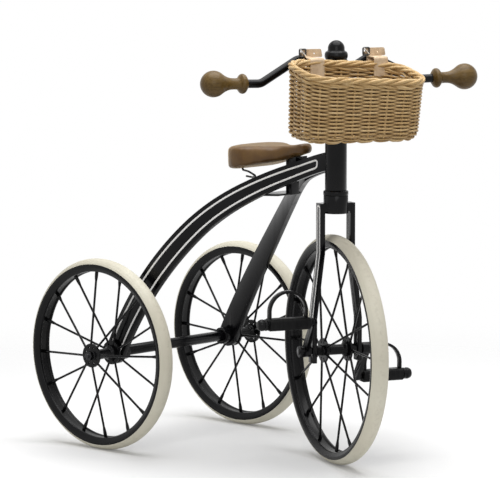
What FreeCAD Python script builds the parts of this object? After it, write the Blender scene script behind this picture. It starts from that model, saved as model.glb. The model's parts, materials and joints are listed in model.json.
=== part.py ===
"""Child's retro tricycle with a wicker basket, as separate solids, one STEP file each.

Units are millimetres. +X points forward, +Y to the rider's left, +Z up, and the floor is z = 0.
The model is drawn with the rear axle over x = 0 and moved at the end so that the origin is the
middle of the overall box at floor level.
"""
import FreeCAD, Part
import math
import os

V = FreeCAD.Vector
UP = V(0, 0, 1)
ACROSS = V(0, 1, 0)
CENTRE = V(0, 0, 0)

# ---- overall ---------------------------------------------------------------------------------
wheelbase = 353.0            # rear axle to steering axis, which passes through the front axle
track = 322.0                # between the middle planes of the rear wheels
steer_rest_deg = -24.5       # fork turned to the rider's right as the tricycle stands
running_gap = 0.05           # radial clearance of every shaft that turns in a hole
face_gap = 0.3               # between flat faces that turn against each other

# ---- wheels ----------------------------------------------------------------------------------
rear_radius = 152.0          # outside the tyre: nominal 12 inch wheel
front_radius = 178.5         # outside the tyre: nominal 14 inch wheel
tyre_rise = 8.0              # tyre above the rim's lip
tyre_width = 28.0
rim_width = 28.0
rim_depth = 12.5             # from the lip to the ridge that carries the spokes
rim_lip = 3.0
rim_wall = 5.0               # upright side below the lip
rim_shoulder_in = 2.5        # foot of the sloping side, in from the rim's face
rim_shoulder_rise = 1.0      # and above the crest
rim_crest_in = 6.0           # edge of the crest, in from the rim's face
rim_groove_half = 5.0
tyre_seat_depth = 6.0        # channel that the tyre sits in
spoke_count = 16
spoke_radius = 1.8
nipple_radius = 2.5
nipple_length = 14.0
nipple_tip = 3.0             # drawn past the rim's groove, then cut flush with it
rear_spoke_phase_deg = (("right", -4.0), ("left", 1.0))    # first spoke, forward of straight up
front_spoke_phase_deg = -1.5
spoke_tip_out = 0.5          # spoke's rim end from the wheel's middle plane
spoke_groove = 2.0           # depth of the groove that the nipples sit in
spoke_foot_in = 1.5          # spoke's hub end inside the flange's edge
hub_barrel_radius = 8.0
hub_flange_radius = 19.0
hub_flange_thickness = 3.0
hub_boss_length = 6.0        # thicker barrel inside each flange
hub_boss_step = 3.5
rear_flange_offset = 22.0    # flange middle from the wheel's middle plane
front_flange_offset = 20.0
front_hub_gap = 1.5          # front hub's end to the fork's dropout
rear_hub_half = 25.0         # rear hub barrel, middle to end
axle_radius = 5.0
axle_nut_radius = 7.5
axle_nut_length = 4.5
axle_stud = 4.0              # turned-down end outside the rear nut
axle_stud_radius = 4.0

# ---- frame -----------------------------------------------------------------------------------
axle_tube_radius = 8.5
beam_thickness = 9.0
beam_head_height = 27.5
beam_foot_height = 37.0
beam_head_z = 473.0          # beam centre line where it meets the head tube
beam_head_slope_deg = 12.5
beam_foot_slope_deg = 63.5
beam_splay_deg = 35.0        # greatest angle of a beam to the centre line, in plan
beam_head_offset = 9.5       # beam centre plane from the tricycle's middle plane, at the head
beam_foot_offset = 129.5     # and at the axle tube
beam_head_straight = 30.0    # beams run side by side over this length behind the head tube
beam_front_bend = 60.0       # plan bend radius behind that straight
beam_overrun = 60.0          # plan drawn on behind the axle; the side outline trims it
lug_radius = 13.5            # collar round the axle tube inside each beam foot
lug_length = 16.0
cross_plate_x = wheelbase - 113.0
cross_plate_z = 413.0
cross_plate_length = 32.0
plate = 3.0                  # sheet of the cross plate
head_tube_radius = 16.8
head_tube_bore = 13.8
head_tube_low = 426.0
head_tube_high = 560.0
cup_radius = 19.4
cup_height = 7.0
cup_chamfer = 1.2

# ---- seat ------------------------------------------------------------------------------------
seat_nose_x = wheelbase - 53.0
seat_length = 143.0
seat_rear_x = seat_nose_x - seat_length
seat_half_width = 58.0
seat_nose_half = 16.5
seat_top_z = 485.0
seat_nose_rise = 9.0
seat_base_z = 451.0          # flat underside over the bracket
seat_nose_base_z = 478.0
seat_top_round = 6.0         # rounding of the top's edge
seat_base_round = 4.0
seat_bend_x = seat_nose_x - 72.0     # top is level behind this and rises to the nose in front of it
seat_base_bend_x = seat_nose_x - 122.0   # the same for the underside
seat_top_bend = 290.0        # radius of the top's bend
seat_base_bend = 80.0        # and of the underside's
seat_nose_round = 15.5       # plan radii: nose, waist, hips, rear corners and rear edge
seat_waist_round = 60.0
seat_hip_round = 24.0
seat_corner_round = 31.0
seat_rear_round = 200.0
seat_waist_back = 35.0       # waist behind the nose
seat_hip_ahead = 47.0        # hips ahead of the rear
seat_rear_bow = 4.0
seat_overrun = 20.0          # side outline drawn past both ends; the plan trims it
seat_post_length = 12.0      # block that stands on the cross plate's front edge under the seat
seat_post_half = 9.0
nose_clamp_x = seat_nose_x - 19.0    # front of the clamp under the seat's nose
nose_clamp_length = 11.0
nose_clamp_half = 13.0
nose_clamp_key = 14.0        # its foot below the beams' centre line
lever_radius = 1.6
lever_bend = 2.0
lever_x = seat_rear_x + 31.0 # rear end of the wire clip under the seat
lever_start = (0.0, -36.0, 4.0)      # forward of lever_x, across, above the seat's underside
lever_bends = ((4.0, -38.0, 0.0), (28.0, -50.0, 0.0), (40.0, -47.0, -6.0), (24.0, -38.0, -10.0),
               (6.0, -32.0, -10.0))   # the same, from the wire's height against the seat

# ---- fork and steering -----------------------------------------------------------------------
steerer_radius = 12.5
steerer_short = 8.0          # steerer's end below the stem's head
crown_low = 394.0
crown_high = 407.0
crown_boss_radius = 19.0
crown_boss_low = 391.0
fork_inside = 21.5           # inner face of a leg from the middle plane, at the crown
fork_thickness = 7.5
fork_depth = 18.5
fork_bend_z = 330.0
dropout_inside = 34.5
dropout_thickness = 6.5
dropout_top = 228.0
dropout_drop = 18.5          # plate below the axle's centre
lock_nut_radius = 16.5
lock_nut_height = 10.0
stem_radius = 14.5
stem_head_radius = 17.5
stem_head_low = 598.0
stem_top = 627.0
cap_ring_radius = 18.0
cap_ring_height = 15.0
cap_ring_round = 4.0
cap_dome_radius = 13.0
cap_dome_height = 15.0

# ---- handlebar -------------------------------------------------------------------------------
bar_radius = 6.5
bar_clamp_z = 611.0
bar_level = 20.0             # level run each side of the stem
bar_peak = (-3.0, 58.0, 632.0)       # forward, outward, height of the hump beside the basket
bar_knee = (15.0, 131.0, 595.0)      # where it levels out towards the grip
bar_end = (17.6, 212.0, 597.0)
bar_bend = 22.0
grip_start = 154.0           # outward place of the collar's inner face
collar_radius = 15.2
collar_length = 14.6
grip_neck_radius = 8.9
grip_ball_radius = 20.2
grip_ball_out = 208.8
grip_waist = 5.0             # neck stops short of the ball by this much
grip_ball_meet_deg = 38.0    # and the slope meets the ball at this angle from its axis

# ---- basket ----------------------------------------------------------------------------------
basket_back_x = 25.0         # outside of the back wall, forward of the steering axis
basket_depth = 128.0
basket_width = 200.0
basket_corner = 42.0
basket_taper = 6.0           # each side is this much further in at the bottom
basket_shift = -7.0          # middle of the basket at half height, from the middle plane
basket_lean = 5.0            # its top is this much to the left of that, its bottom to the right
basket_bottom_z = 516.5      # underside where it meets the back wall
basket_back_rim_z = 629.0
basket_wall = 7.0
basket_floor = 6.0
basket_overrun = 20.0        # shell drawn past the rim and the base; two planes trim it
rim_pitch_deg = 9.3         # rim falls towards the front
rim_roll_deg = 2.8           # and a little towards the rider's left
base_pitch_deg = 2.0
strap_places = (("right", -45.5), ("left", 60.0))    # side, middle of the strap
strap_width = 23.0
strap_leather = 2.2
strap_drop = 26.0            # strap ends below the back rim
strap_gap = 0.3              # leather from the wicker
strap_lift = 1.0             # and its bridge above the back rim, which rises across the strap
tongue_length = 27.0         # free end of the strap beyond its buckle
tongue_height = 12.5
tongue_x = 10.0              # its front face, forward of the steering axis
buckle_width = 13.0
buckle_height = 14.0
buckle_wire = 2.6
buckle_out = -20.5           # buckle's outer edge from the strap's middle

# ---- cranks and pedals -----------------------------------------------------------------------
crank_length = 61.0
crank_angle_deg = 55.0       # right crank above the horizontal, forward of the axle
crank_thickness = 6.0
crank_width = 13.5
crank_inside = 48.0          # crank's inner face from the middle plane
crank_boss_radius = 9.0
crank_boss_start = 44.0
crank_boss_end = 61.0
crank_axle_end = 1.0         # axle's end outside the boss
pedal_inside = 60.0
pedal_length = 67.0
pedal_depth = 24.0
pedal_height = 18.5
pedal_edge = 5.5
pedal_end_wall = 1.0         # rubber left over the bore's outer end
spindle_radius = 4.0
spindle_short = 2.0          # spindle's end inside the pedal's
spacer_gap = 1.0             # collar's end to the pedal
spacer_step = 2.5
pedal_cap_radius = 9.0
pedal_cap_length = 19.5
hoop_out = 94.5              # middle of the hoop from the middle plane
hoop_half_width = 30.0       # middle of a hoop leg from the hoop's middle
hoop_leg = 10.0
hoop_band = 4.0
hoop_depth = 10.0


# ---- shared shapes ---------------------------------------------------------------------------

def rod(start, end, radius):
    """Round bar between two points."""
    axis = end - start
    return Part.makeCylinder(radius, axis.Length, start, axis)


def slab(x0, x1, y0, y1, z0, z1):
    """Box between two corners."""
    return Part.makeBox(x1 - x0, y1 - y0, z1 - z0, V(x0, y0, z0))


def polygon(points):
    """Flat face inside a closed chain of points."""
    return Part.Face(Part.makePolygon(points + points[:1]))


def lathe(profile):
    """Solid turned about the Y axis from (y, radius) corners."""
    face = polygon([V(0, y, radius) for y, radius in profile])
    return face.revolve(CENTRE, ACROSS, 360)


def mirrored(shape):
    """The same piece on the other side of the middle plane."""
    return shape.mirror(CENTRE, ACROSS)


def steered(shape):
    """Move a piece drawn straight ahead about x = 0 onto the turned fork."""
    placed = shape.copy()
    placed.rotate(CENTRE, UP, steer_rest_deg)
    placed.translate(V(wheelbase, 0, 0))
    return placed


def round_path(points, radius):
    """Wire of straight runs whose corners are arcs of one radius."""
    edges = []
    start = points[0]
    for before, corner, after in zip(points, points[1:], points[2:]):
        into = (corner - before).normalize()
        out = (after - corner).normalize()
        turn = into.getAngle(out)
        reach = radius * math.tan(turn / 2)
        first = corner - into * reach
        last = corner + out * reach
        inward = (out - into).normalize()
        middle = corner + inward * (radius / math.cos(turn / 2) - radius)
        edges.append(Part.LineSegment(start, first).toShape())
        edges.append(Part.Arc(first, middle, last).toShape())
        start = last
    edges.append(Part.LineSegment(start, points[-1]).toShape())
    return Part.Wire(edges)


def tube_along(path, radius):
    """Solid round bar along a wire that starts straight."""
    first = path.Edges[0]
    heading = first.tangentAt(first.FirstParameter)
    circle = Part.Circle(first.valueAt(first.FirstParameter), heading, radius).toShape()
    return path.makePipeShell([Part.Wire(circle)], True, True)


def biarc(start, heading, end, arrival):
    """Two arcs that leave start along heading and reach end along arrival, tangent to each other."""
    chord = end - start
    both = heading + arrival
    a = 2 * (1 - heading.dot(arrival))
    b = 2 * chord.dot(both)
    reach = (-b + math.sqrt(b * b + 4 * a * chord.dot(chord))) / (2 * a)
    ahead = start + heading * reach
    behind = end - arrival * reach
    joint = (ahead + behind) * 0.5
    return [arc_from(start, heading, joint), arc_from(end, arrival * -1, joint)]


def arc_from(start, heading, end):
    """Arc from start, tangent to heading there, to end."""
    chord = end - start
    side = heading.cross(chord).cross(heading).normalize()
    radius = chord.dot(chord) / (2 * chord.dot(side))
    centre = start + side * radius
    middle = ((start + end) * 0.5 - centre).normalize() * radius + centre
    return Part.Arc(start, middle, end).toShape()


# ---- wheels, drawn about the Y axis at the origin --------------------------------------------

def tyre(outside):
    """Solid rubber tyre: a round tread over a foot that sits in the rim's channel."""
    lip = outside - tyre_rise
    bed = lip - tyre_seat_depth
    half = tyre_width / 2
    foot = rim_width / 2 - rim_lip
    left, right = V(0, -half, lip), V(0, half, lip)
    tread = Part.Arc(left, V(0, 0, outside), right).toShape()
    rest = Part.makePolygon([right, V(0, foot, lip), V(0, foot, bed), V(0, -foot, bed),
                             V(0, -foot, lip), left])
    return Part.Face(Part.Wire([tread] + rest.Edges)).revolve(CENTRE, ACROSS, 360)


def rim(outside):
    """Pressed steel rim: lips and channel outside, a grooved inner side for the spokes."""
    lip = outside - tyre_rise
    bed = lip - tyre_seat_depth
    spoke_seat = lip - rim_depth + spoke_groove
    crest = lip - rim_depth
    half = rim_width / 2
    foot = half - rim_lip
    right = [(foot, bed), (foot, lip), (half, lip), (half, lip - rim_wall),
             (half - rim_shoulder_in, crest + rim_shoulder_rise), (half - rim_crest_in, crest),
             (rim_groove_half, spoke_seat)]
    left = [(-y, radius) for y, radius in reversed(right)]
    return lathe(right + left)


def hub(flange_offset, half_length, bore):
    """Turned barrel with two spoke flanges, bored for the axle."""
    barrel = rod(V(0, -half_length, 0), V(0, half_length, 0), hub_barrel_radius)
    for side in (-1, 1):
        middle = side * flange_offset
        flange = rod(V(0, middle - hub_flange_thickness / 2, 0),
                     V(0, middle + hub_flange_thickness / 2, 0), hub_flange_radius)
        boss = rod(V(0, middle - side * hub_boss_length, 0), V(0, middle, 0),
                   hub_barrel_radius + hub_boss_step)
        barrel = barrel.fuse([flange, boss])
    hole = rod(V(0, -half_length, 0), V(0, half_length, 0), bore)
    return barrel.cut(hole).removeSplitter()


def spokes(outside, flange_offset, first_side, phase_deg):
    """Straight radial spokes, every other one to the same flange, with a nipple at the rim."""
    seat = outside - tyre_rise - rim_depth + spoke_groove
    inside = hub_flange_radius - spoke_foot_in
    reach = seat + nipple_tip
    every = []
    for number in range(spoke_count):
        side = first_side if number % 2 == 0 else -first_side
        foot = V(0, side * flange_offset, inside)
        tip = V(0, side * spoke_tip_out, reach)
        along = (tip - foot).normalize()
        spoke = rod(foot, tip, spoke_radius)
        spoke = spoke.fuse(rod(tip - along * (nipple_length + nipple_tip), tip, nipple_radius))
        spoke.rotate(CENTRE, ACROSS, phase_deg + number * 360.0 / spoke_count)
        every.append(spoke.removeSplitter())
    window = rod(V(0, -track, 0), V(0, track, 0), seat)
    window = window.cut(rod(V(0, -track, 0), V(0, track, 0), hub_flange_radius))
    return Part.makeCompound([spoke.common(window).Solids[0] for spoke in every])


def rear_wheel_nodes(side_name, side, phase_deg):
    """The four nodes of one rear wheel, in place."""
    place = V(0, side * track / 2, rear_radius)
    pieces = {
        "rear_tyre_": tyre(rear_radius),
        "rear_rim_": rim(rear_radius),
        "rear_hub_": hub(rear_flange_offset, rear_hub_half, axle_radius + running_gap),
        "rear_spokes_": spokes(rear_radius, rear_flange_offset, -1, phase_deg),
    }
    for name, shape in pieces.items():
        shape.translate(place)
        yield name + side_name, shape


def front_wheel_nodes():
    """The front wheel turns with its axle, so the hub is bored to the axle's own size."""
    half = dropout_inside - front_hub_gap
    pieces = {
        "front_tyre": tyre(front_radius),
        "front_rim": rim(front_radius),
        "front_hub": hub(front_flange_offset, half, axle_radius),
        "front_spokes": spokes(front_radius, front_flange_offset, 1, front_spoke_phase_deg),
    }
    for name, shape in pieces.items():
        shape.translate(V(0, 0, front_radius))
        yield name, steered(shape)


# ---- frame -----------------------------------------------------------------------------------

def beam_side_outline():
    """Beam seen from the side: a swept bow that ends in a half circle round the axle tube."""
    down = math.radians(beam_head_slope_deg)
    steep = math.radians(beam_foot_slope_deg)
    leave = V(-math.cos(down), 0, -math.sin(down))
    arrive = V(-math.cos(steep), 0, -math.sin(steep))
    head = V(wheelbase, 0, beam_head_z)
    foot = V(0, 0, rear_radius)
    head_up = V(-leave.z, 0, leave.x) * -1
    foot_up = V(-arrive.z, 0, arrive.x) * -1
    top = biarc(head + head_up * (beam_head_height / 2), leave,
                foot + foot_up * (beam_foot_height / 2), arrive)
    bottom = biarc(head - head_up * (beam_head_height / 2), leave,
                   foot - foot_up * (beam_foot_height / 2), arrive)
    end = Part.Arc(foot + foot_up * (beam_foot_height / 2), foot + arrive * (beam_foot_height / 2),
                   foot - foot_up * (beam_foot_height / 2)).toShape()
    front = Part.LineSegment(head + head_up * (beam_head_height / 2),
                             head - head_up * (beam_head_height / 2)).toShape()
    return Part.Wire(Part.__sortEdges__(top + [end] + bottom + [front]))


def beam_plan_edge(shift):
    """One face of the left beam in plan, shifted outward from its middle line."""
    splay = math.radians(beam_splay_deg)
    run = wheelbase - head_tube_radius - beam_head_straight
    drop = beam_foot_offset - beam_head_offset
    both = (run * math.sin(splay) - drop * math.cos(splay)) / (1 - math.cos(splay))
    straight = (drop * math.sin(splay) - run * (1 - math.cos(splay))) / (1 - math.cos(splay))
    rear = both - beam_front_bend + shift
    front = beam_front_bend - shift
    behind = V(-beam_overrun, beam_foot_offset + shift, 0)
    start = V(0, beam_foot_offset + shift, 0)

    def on_arc(origin, radius, angle, sign):
        return origin + V(radius * math.sin(angle), -sign * radius * (1 - math.cos(angle)), 0)

    bend_end = on_arc(start, rear, splay, 1)
    edges = [Part.LineSegment(behind, start).toShape(),
             Part.Arc(start, on_arc(start, rear, splay / 2, 1), bend_end).toShape()]
    stop = V(run, beam_head_offset + shift, 0)
    bend_start = stop + V(-front * math.sin(splay), front * (1 - math.cos(splay)), 0)
    middle = stop + V(-front * math.sin(splay / 2), front * (1 - math.cos(splay / 2)), 0)
    edges.append(Part.LineSegment(bend_end, bend_start).toShape())
    edges.append(Part.Arc(bend_start, middle, stop).toShape())
    edges.append(Part.LineSegment(stop, V(wheelbase, stop.y, 0)).toShape())
    return edges


def beam_strip():
    """Curved upright wall, as thick as the left beam, that gives the beam its plan."""
    outer = beam_plan_edge(beam_thickness / 2)
    inner = beam_plan_edge(-beam_thickness / 2)
    ends = [Part.LineSegment(outer[0].Vertexes[0].Point, inner[0].Vertexes[0].Point).toShape(),
            Part.LineSegment(outer[-1].Vertexes[-1].Point, inner[-1].Vertexes[-1].Point).toShape()]
    strip = Part.Face(Part.Wire(Part.__sortEdges__(outer + inner + ends)))
    return strip.extrude(V(0, 0, head_tube_high))


def beam_left():
    """Left beam: the side outline, kept only within the strip of its plan."""
    side = Part.Face(beam_side_outline())
    beam = side.extrude(V(0, track / 2, 0)).common(beam_strip())
    head = rod(V(wheelbase, 0, 0), V(wheelbase, 0, head_tube_high), head_tube_radius)
    axle = rod(V(0, 0, rear_radius), V(0, track, rear_radius), axle_tube_radius)
    return beam.cut([head, axle]).Solids[0]


def axle_tube():
    """Cross tube between the beam feet, bored for the axle."""
    half = track / 2 - rear_hub_half - face_gap
    outside = rod(V(0, -half, rear_radius), V(0, half, rear_radius), axle_tube_radius)
    return outside.cut(rod(V(0, -half, rear_radius), V(0, half, rear_radius), axle_radius))


def foot_lug_left(beam):
    """Collar welded round the axle tube on the inner side of the beam's foot."""
    inner = beam_foot_offset - beam_thickness / 2 - lug_length
    ring = rod(V(0, inner, rear_radius), V(0, inner + lug_length, rear_radius), lug_radius)
    hole = rod(V(0, 0, rear_radius), V(0, track, rear_radius), axle_tube_radius)
    return ring.cut([hole, beam]).Solids[0]


def rear_axle():
    """Solid axle through the cross tube, both hubs and both nuts, turned down at its ends."""
    half = track / 2 + rear_hub_half + face_gap + axle_nut_length
    tip = half + axle_stud
    shaft = rod(V(0, -half, rear_radius), V(0, half, rear_radius), axle_radius)
    return shaft.fuse(rod(V(0, -tip, rear_radius), V(0, tip, rear_radius), axle_stud_radius))


def axle_nut_left():
    """Hexagon nut outside the rear hub."""
    start = track / 2 + rear_hub_half + face_gap
    corners = [V(axle_nut_radius * math.cos(math.radians(60 * k)), start,
                 rear_radius + axle_nut_radius * math.sin(math.radians(60 * k))) for k in range(6)]
    nut = polygon(corners).extrude(V(0, axle_nut_length, 0))
    return nut.cut(rod(V(0, 0, rear_radius), V(0, track, rear_radius), axle_radius))


def cross_plate():
    """Level plate that ties the two beams together under the seat."""
    half = beam_foot_offset
    sheet = slab(cross_plate_x - cross_plate_length / 2, cross_plate_x + cross_plate_length / 2,
                 -half, half, cross_plate_z - plate / 2, cross_plate_z + plate / 2)
    between = sheet.cut([beam_strip(), mirrored(beam_strip())]).Solids
    return min(between, key=lambda piece: abs(piece.CenterOfMass.y))


def head_tube():
    """Tube that the fork's steerer turns in."""
    foot, top = V(wheelbase, 0, head_tube_low), V(wheelbase, 0, head_tube_high)
    return rod(foot, top, head_tube_radius).cut(rod(foot, top, head_tube_bore))


def bearing_cup(low):
    """Bearing ring that guides the steerer."""
    foot, top = V(wheelbase, 0, low), V(wheelbase, 0, low + cup_height)
    ring = rod(foot, top, cup_radius)
    return ring.makeChamfer(cup_chamfer, ring.Edges[:1]).cut(rod(foot, top, steerer_radius + running_gap))


# ---- seat ------------------------------------------------------------------------------------

def rounded_loop(rows):
    """Closed wire through rows of (corner point, radius); radius 0 leaves the corner sharp."""
    points = [point for point, _ in rows]
    ends = []
    for before, (corner, radius), after in zip(points[-1:] + points[:-1], rows, points[1:] + points[:1]):
        into = (corner - before).normalize()
        out = (after - corner).normalize()
        turn = into.getAngle(out)
        reach = radius * math.tan(turn / 2)
        middle = corner + (out - into).normalize() * (radius / math.cos(turn / 2) - radius)
        ends.append((corner - into * reach, middle, corner + out * reach, radius))
    edges = []
    for (_, _, start, _), (first, middle, last, radius) in zip(ends[-1:] + ends[:-1], ends):
        edges.append(Part.LineSegment(start, first).toShape())
        if radius:
            edges.append(Part.Arc(first, middle, last).toShape())
    return Part.Wire(edges)


def seat_plan():
    """Saddle seen from above: round nose, hollow waist, broad hips and bowed rear."""
    half = [(seat_nose_x, seat_nose_half, seat_nose_round),      # x, out, radius
            (seat_nose_x - seat_waist_back, seat_nose_half, seat_waist_round),
            (seat_rear_x + seat_hip_ahead, seat_half_width, seat_hip_round),
            (seat_rear_x + seat_rear_bow, seat_half_width, seat_corner_round)]
    rows = [(V(x, out, 0), radius) for x, out, radius in half]
    rows.append((V(seat_rear_x, 0, 0), seat_rear_round))
    rows += [(V(x, -out, 0), radius) for x, out, radius in reversed(half)]
    return Part.Face(rounded_loop(rows))


def rim_edges(body, way):
    """Edges round the faces that look up (way 1) or down (way -1), without those across the body."""
    found = []
    for face in body.Faces:
        middle = [sum(pair) / 2 for pair in (face.ParameterRange[:2], face.ParameterRange[2:])]
        if face.normalAt(*middle).z * way > 0.5:
            found += [edge for edge in face.Edges if abs(edge.tangentAt(edge.FirstParameter).y) < 0.99
                      or abs(edge.tangentAt(edge.LastParameter).y) < 0.99]
    return found


def seat():
    """Moulded saddle: the plan kept within a side outline, with rounded edges above and below."""
    back, front = seat_rear_x - seat_overrun, seat_nose_x + seat_overrun
    rise = math.atan(2 * seat_nose_rise / (seat_nose_x - seat_bend_x))
    top_knee = (seat_bend_x + seat_nose_x) / 2
    climb = (seat_nose_base_z - seat_base_z) / (seat_nose_x - seat_base_bend_x)
    rows = [(V(back, 0, seat_top_z), 0), (V(back, 0, seat_base_z), 0),
            (V(seat_base_bend_x, 0, seat_base_z), seat_base_bend),
            (V(front, 0, seat_base_z + climb * (front - seat_base_bend_x)), 0),
            (V(front, 0, seat_top_z + math.tan(rise) * (front - top_knee)), 0),
            (V(top_knee, 0, seat_top_z), seat_top_bend)]
    side = Part.Face(rounded_loop(rows))
    side.translate(V(0, -track / 2, 0))
    body = side.extrude(V(0, track, 0)).common(seat_plan().extrude(V(0, 0, head_tube_high)))
    body = body.Solids[0]
    body = body.makeFillet(seat_top_round, rim_edges(body, 1))
    return body.makeFillet(seat_base_round, rim_edges(body, -1))


def seat_post(saddle):
    """Block between the beams, from the front edge of the cross plate up to the seat."""
    rear = cross_plate_x + cross_plate_length / 2
    block = slab(rear, rear + seat_post_length, -seat_post_half, seat_post_half,
                 cross_plate_z, seat_nose_base_z)
    return min(block.cut(saddle).Solids, key=lambda piece: piece.CenterOfMass.z)


def seat_nose_clamp(beams, saddle):
    """Block between the seat's nose and the two beams, with a key that drops between them."""
    block = slab(nose_clamp_x - nose_clamp_length, nose_clamp_x, -nose_clamp_half, nose_clamp_half,
                 beam_head_z - nose_clamp_key, seat_nose_base_z)
    return max(block.cut(beams + [saddle]).Solids, key=lambda piece: piece.Volume)


def seat_lever(saddle):
    """Bent wire clip whose upper end comes out of the seat's underside, on the right."""
    top = seat_base_z - lever_radius - face_gap
    points = [V(lever_x, 0, seat_base_z) + V(*lever_start)]
    points += [V(lever_x, 0, top) + V(*place) for place in lever_bends]
    wire = tube_along(round_path(points, lever_bend), lever_radius)
    return max(wire.cut(saddle).Solids, key=lambda piece: piece.Volume)


# ---- fork, stem and handlebar ----------------------------------------------------------------

def fork_crown():
    """Flat bridge between the legs with the boss that holds the steerer."""
    bridge = slab(-fork_depth / 2, fork_depth / 2, -fork_inside, fork_inside, crown_low, crown_high)
    boss = rod(V(0, 0, crown_boss_low), V(0, 0, head_tube_low - cup_height - face_gap),
               crown_boss_radius)
    hole = rod(V(0, 0, 0), V(0, 0, head_tube_high), steerer_radius)
    return bridge.fuse(boss).cut(hole).removeSplitter()


def fork_leg_left():
    """Flat bar that runs down from the crown, kicks outward and ends in the dropout plate."""
    low = front_radius - dropout_drop
    inner = [(fork_inside, crown_high), (fork_inside, fork_bend_z), (dropout_inside, dropout_top),
             (dropout_inside, low)]
    outer = [(dropout_inside + dropout_thickness, low),
             (dropout_inside + dropout_thickness, dropout_top),
             (fork_inside + fork_thickness, fork_bend_z), (fork_inside + fork_thickness, crown_high)]
    face = polygon([V(-fork_depth / 2, y, z) for y, z in inner + outer])
    bar = face.extrude(V(fork_depth, 0, 0))
    return bar.cut(rod(V(0, 0, front_radius), V(0, track, front_radius), axle_radius + running_gap))


def steerer():
    """Tube from the crown up through the head tube into the stem."""
    return rod(V(0, 0, crown_boss_low), V(0, 0, stem_head_low - steerer_short), steerer_radius)


def lock_nut():
    """Nut above the upper bearing ring."""
    low = head_tube_high + cup_height + face_gap
    corners = [V(lock_nut_radius * math.cos(math.radians(60 * k)),
                 lock_nut_radius * math.sin(math.radians(60 * k)), low) for k in range(6)]
    nut = polygon(corners).extrude(V(0, 0, lock_nut_height))
    return nut.cut(rod(V(0, 0, low), V(0, 0, low + lock_nut_height), steerer_radius))


def stem(bar):
    """Stem with the round head that clamps the handlebar."""
    low = head_tube_high + cup_height + face_gap + lock_nut_height
    column = rod(V(0, 0, low), V(0, 0, stem_head_low), stem_radius)
    head = rod(V(0, 0, stem_head_low), V(0, 0, stem_top), stem_head_radius)
    return column.fuse(head).cut([steerer(), bar]).removeSplitter()


def stem_cap():
    """Ring and dome that close the top of the stem."""
    ring = rod(V(0, 0, stem_top), V(0, 0, stem_top + cap_ring_height), cap_ring_radius)
    ring = ring.makeFillet(cap_ring_round, [edge for edge in ring.Edges if len(edge.Vertexes) == 1])
    start = stem_top + cap_ring_height
    neck = cap_dome_height - cap_dome_radius
    dome = rod(V(0, 0, start), V(0, 0, start + neck), cap_dome_radius)
    ball = Part.makeSphere(cap_dome_radius, V(0, 0, start + neck))
    top = slab(-cap_ring_radius, cap_ring_radius, -cap_ring_radius, cap_ring_radius,
               start + neck, start + neck + cap_ring_radius)
    return ring.fuse([dome, ball.common(top)]).removeSplitter()


def handlebar_path():
    """Level in the stem, up beside the basket, down and level again to the grips."""
    half = [V(0, bar_level, bar_clamp_z), V(*bar_peak), V(*bar_knee), V(*bar_end)]
    right = [V(point.x, -point.y, point.z) for point in reversed(half)]
    return round_path(right + half, bar_bend)


def grip_left(bar):
    """Turned wooden knob: a ring collar, a neck and a ball, bored for the bar."""
    ball_at = grip_ball_out - grip_start
    neck_end = ball_at - math.sqrt(grip_ball_radius ** 2 - grip_neck_radius ** 2) - grip_waist
    meet = ball_at - grip_ball_radius * math.cos(math.radians(grip_ball_meet_deg))
    meet_radius = grip_ball_radius * math.sin(math.radians(grip_ball_meet_deg))
    end = ball_at + grip_ball_radius
    edges = [
        Part.Arc(V(0, 0, grip_neck_radius), V(0, collar_length / 2, collar_radius),
                 V(0, collar_length, grip_neck_radius)).toShape(),
        Part.LineSegment(V(0, collar_length, grip_neck_radius),
                         V(0, neck_end, grip_neck_radius)).toShape(),
        Part.LineSegment(V(0, neck_end, grip_neck_radius), V(0, meet, meet_radius)).toShape(),
        Part.Arc(V(0, meet, meet_radius), V(0, ball_at, grip_ball_radius),
                 V(0, end, 0)).toShape(),
        Part.LineSegment(V(0, end, 0), V(0, 0, 0)).toShape(),
        Part.LineSegment(V(0, 0, 0), V(0, 0, grip_neck_radius)).toShape()]
    knob = Part.Face(Part.Wire(edges)).revolve(CENTRE, ACROSS, 360)
    knee, tip = V(*bar_knee), V(*bar_end)
    along = (tip - knee).normalize()
    knob.rotate(CENTRE, ACROSS.cross(along), math.degrees(ACROSS.getAngle(along)))
    knob.translate(knee + along * (grip_start - knee.y))
    return knob.cut(bar).Solids[0]


# ---- basket ----------------------------------------------------------------------------------

def basket_loop(inset, z, middle_y):
    """Rounded rectangle, the basket's outline at one height."""
    x0 = basket_back_x + inset
    x1 = basket_back_x + basket_depth - inset
    y0 = middle_y - basket_width / 2 + inset
    y1 = middle_y + basket_width / 2 - inset
    sheet = slab(x0, x1, y0, y1, z, z + plate)
    uprights = [edge for edge in sheet.Edges if abs(edge.tangentAt(edge.FirstParameter).z) > 0.9]
    rounded = sheet.makeFillet(basket_corner - inset, uprights)
    return min(rounded.Faces, key=lambda face: face.CenterOfMass.z).OuterWire


def below_plane(z_at_back, pitch_deg, roll_deg):
    """Everything below a tilted plane that crosses the back wall at one height."""
    size = 600.0
    block = slab(-size / 2, size / 2, -size / 2, size / 2, -size, 0)
    block.rotate(CENTRE, ACROSS, pitch_deg)
    block.rotate(CENTRE, V(1, 0, 0), -roll_deg)
    block.translate(V(basket_back_x, 0, z_at_back))
    return block


def basket_shell(inset):
    """Solid tapered body of the basket, set in from its outside."""
    low, high = basket_bottom_z - basket_overrun, basket_back_rim_z + basket_overrun
    return Part.makeLoft([basket_loop(basket_taper + inset, low, basket_shift - basket_lean),
                          basket_loop(inset, high, basket_shift + basket_lean)], True, True)


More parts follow.
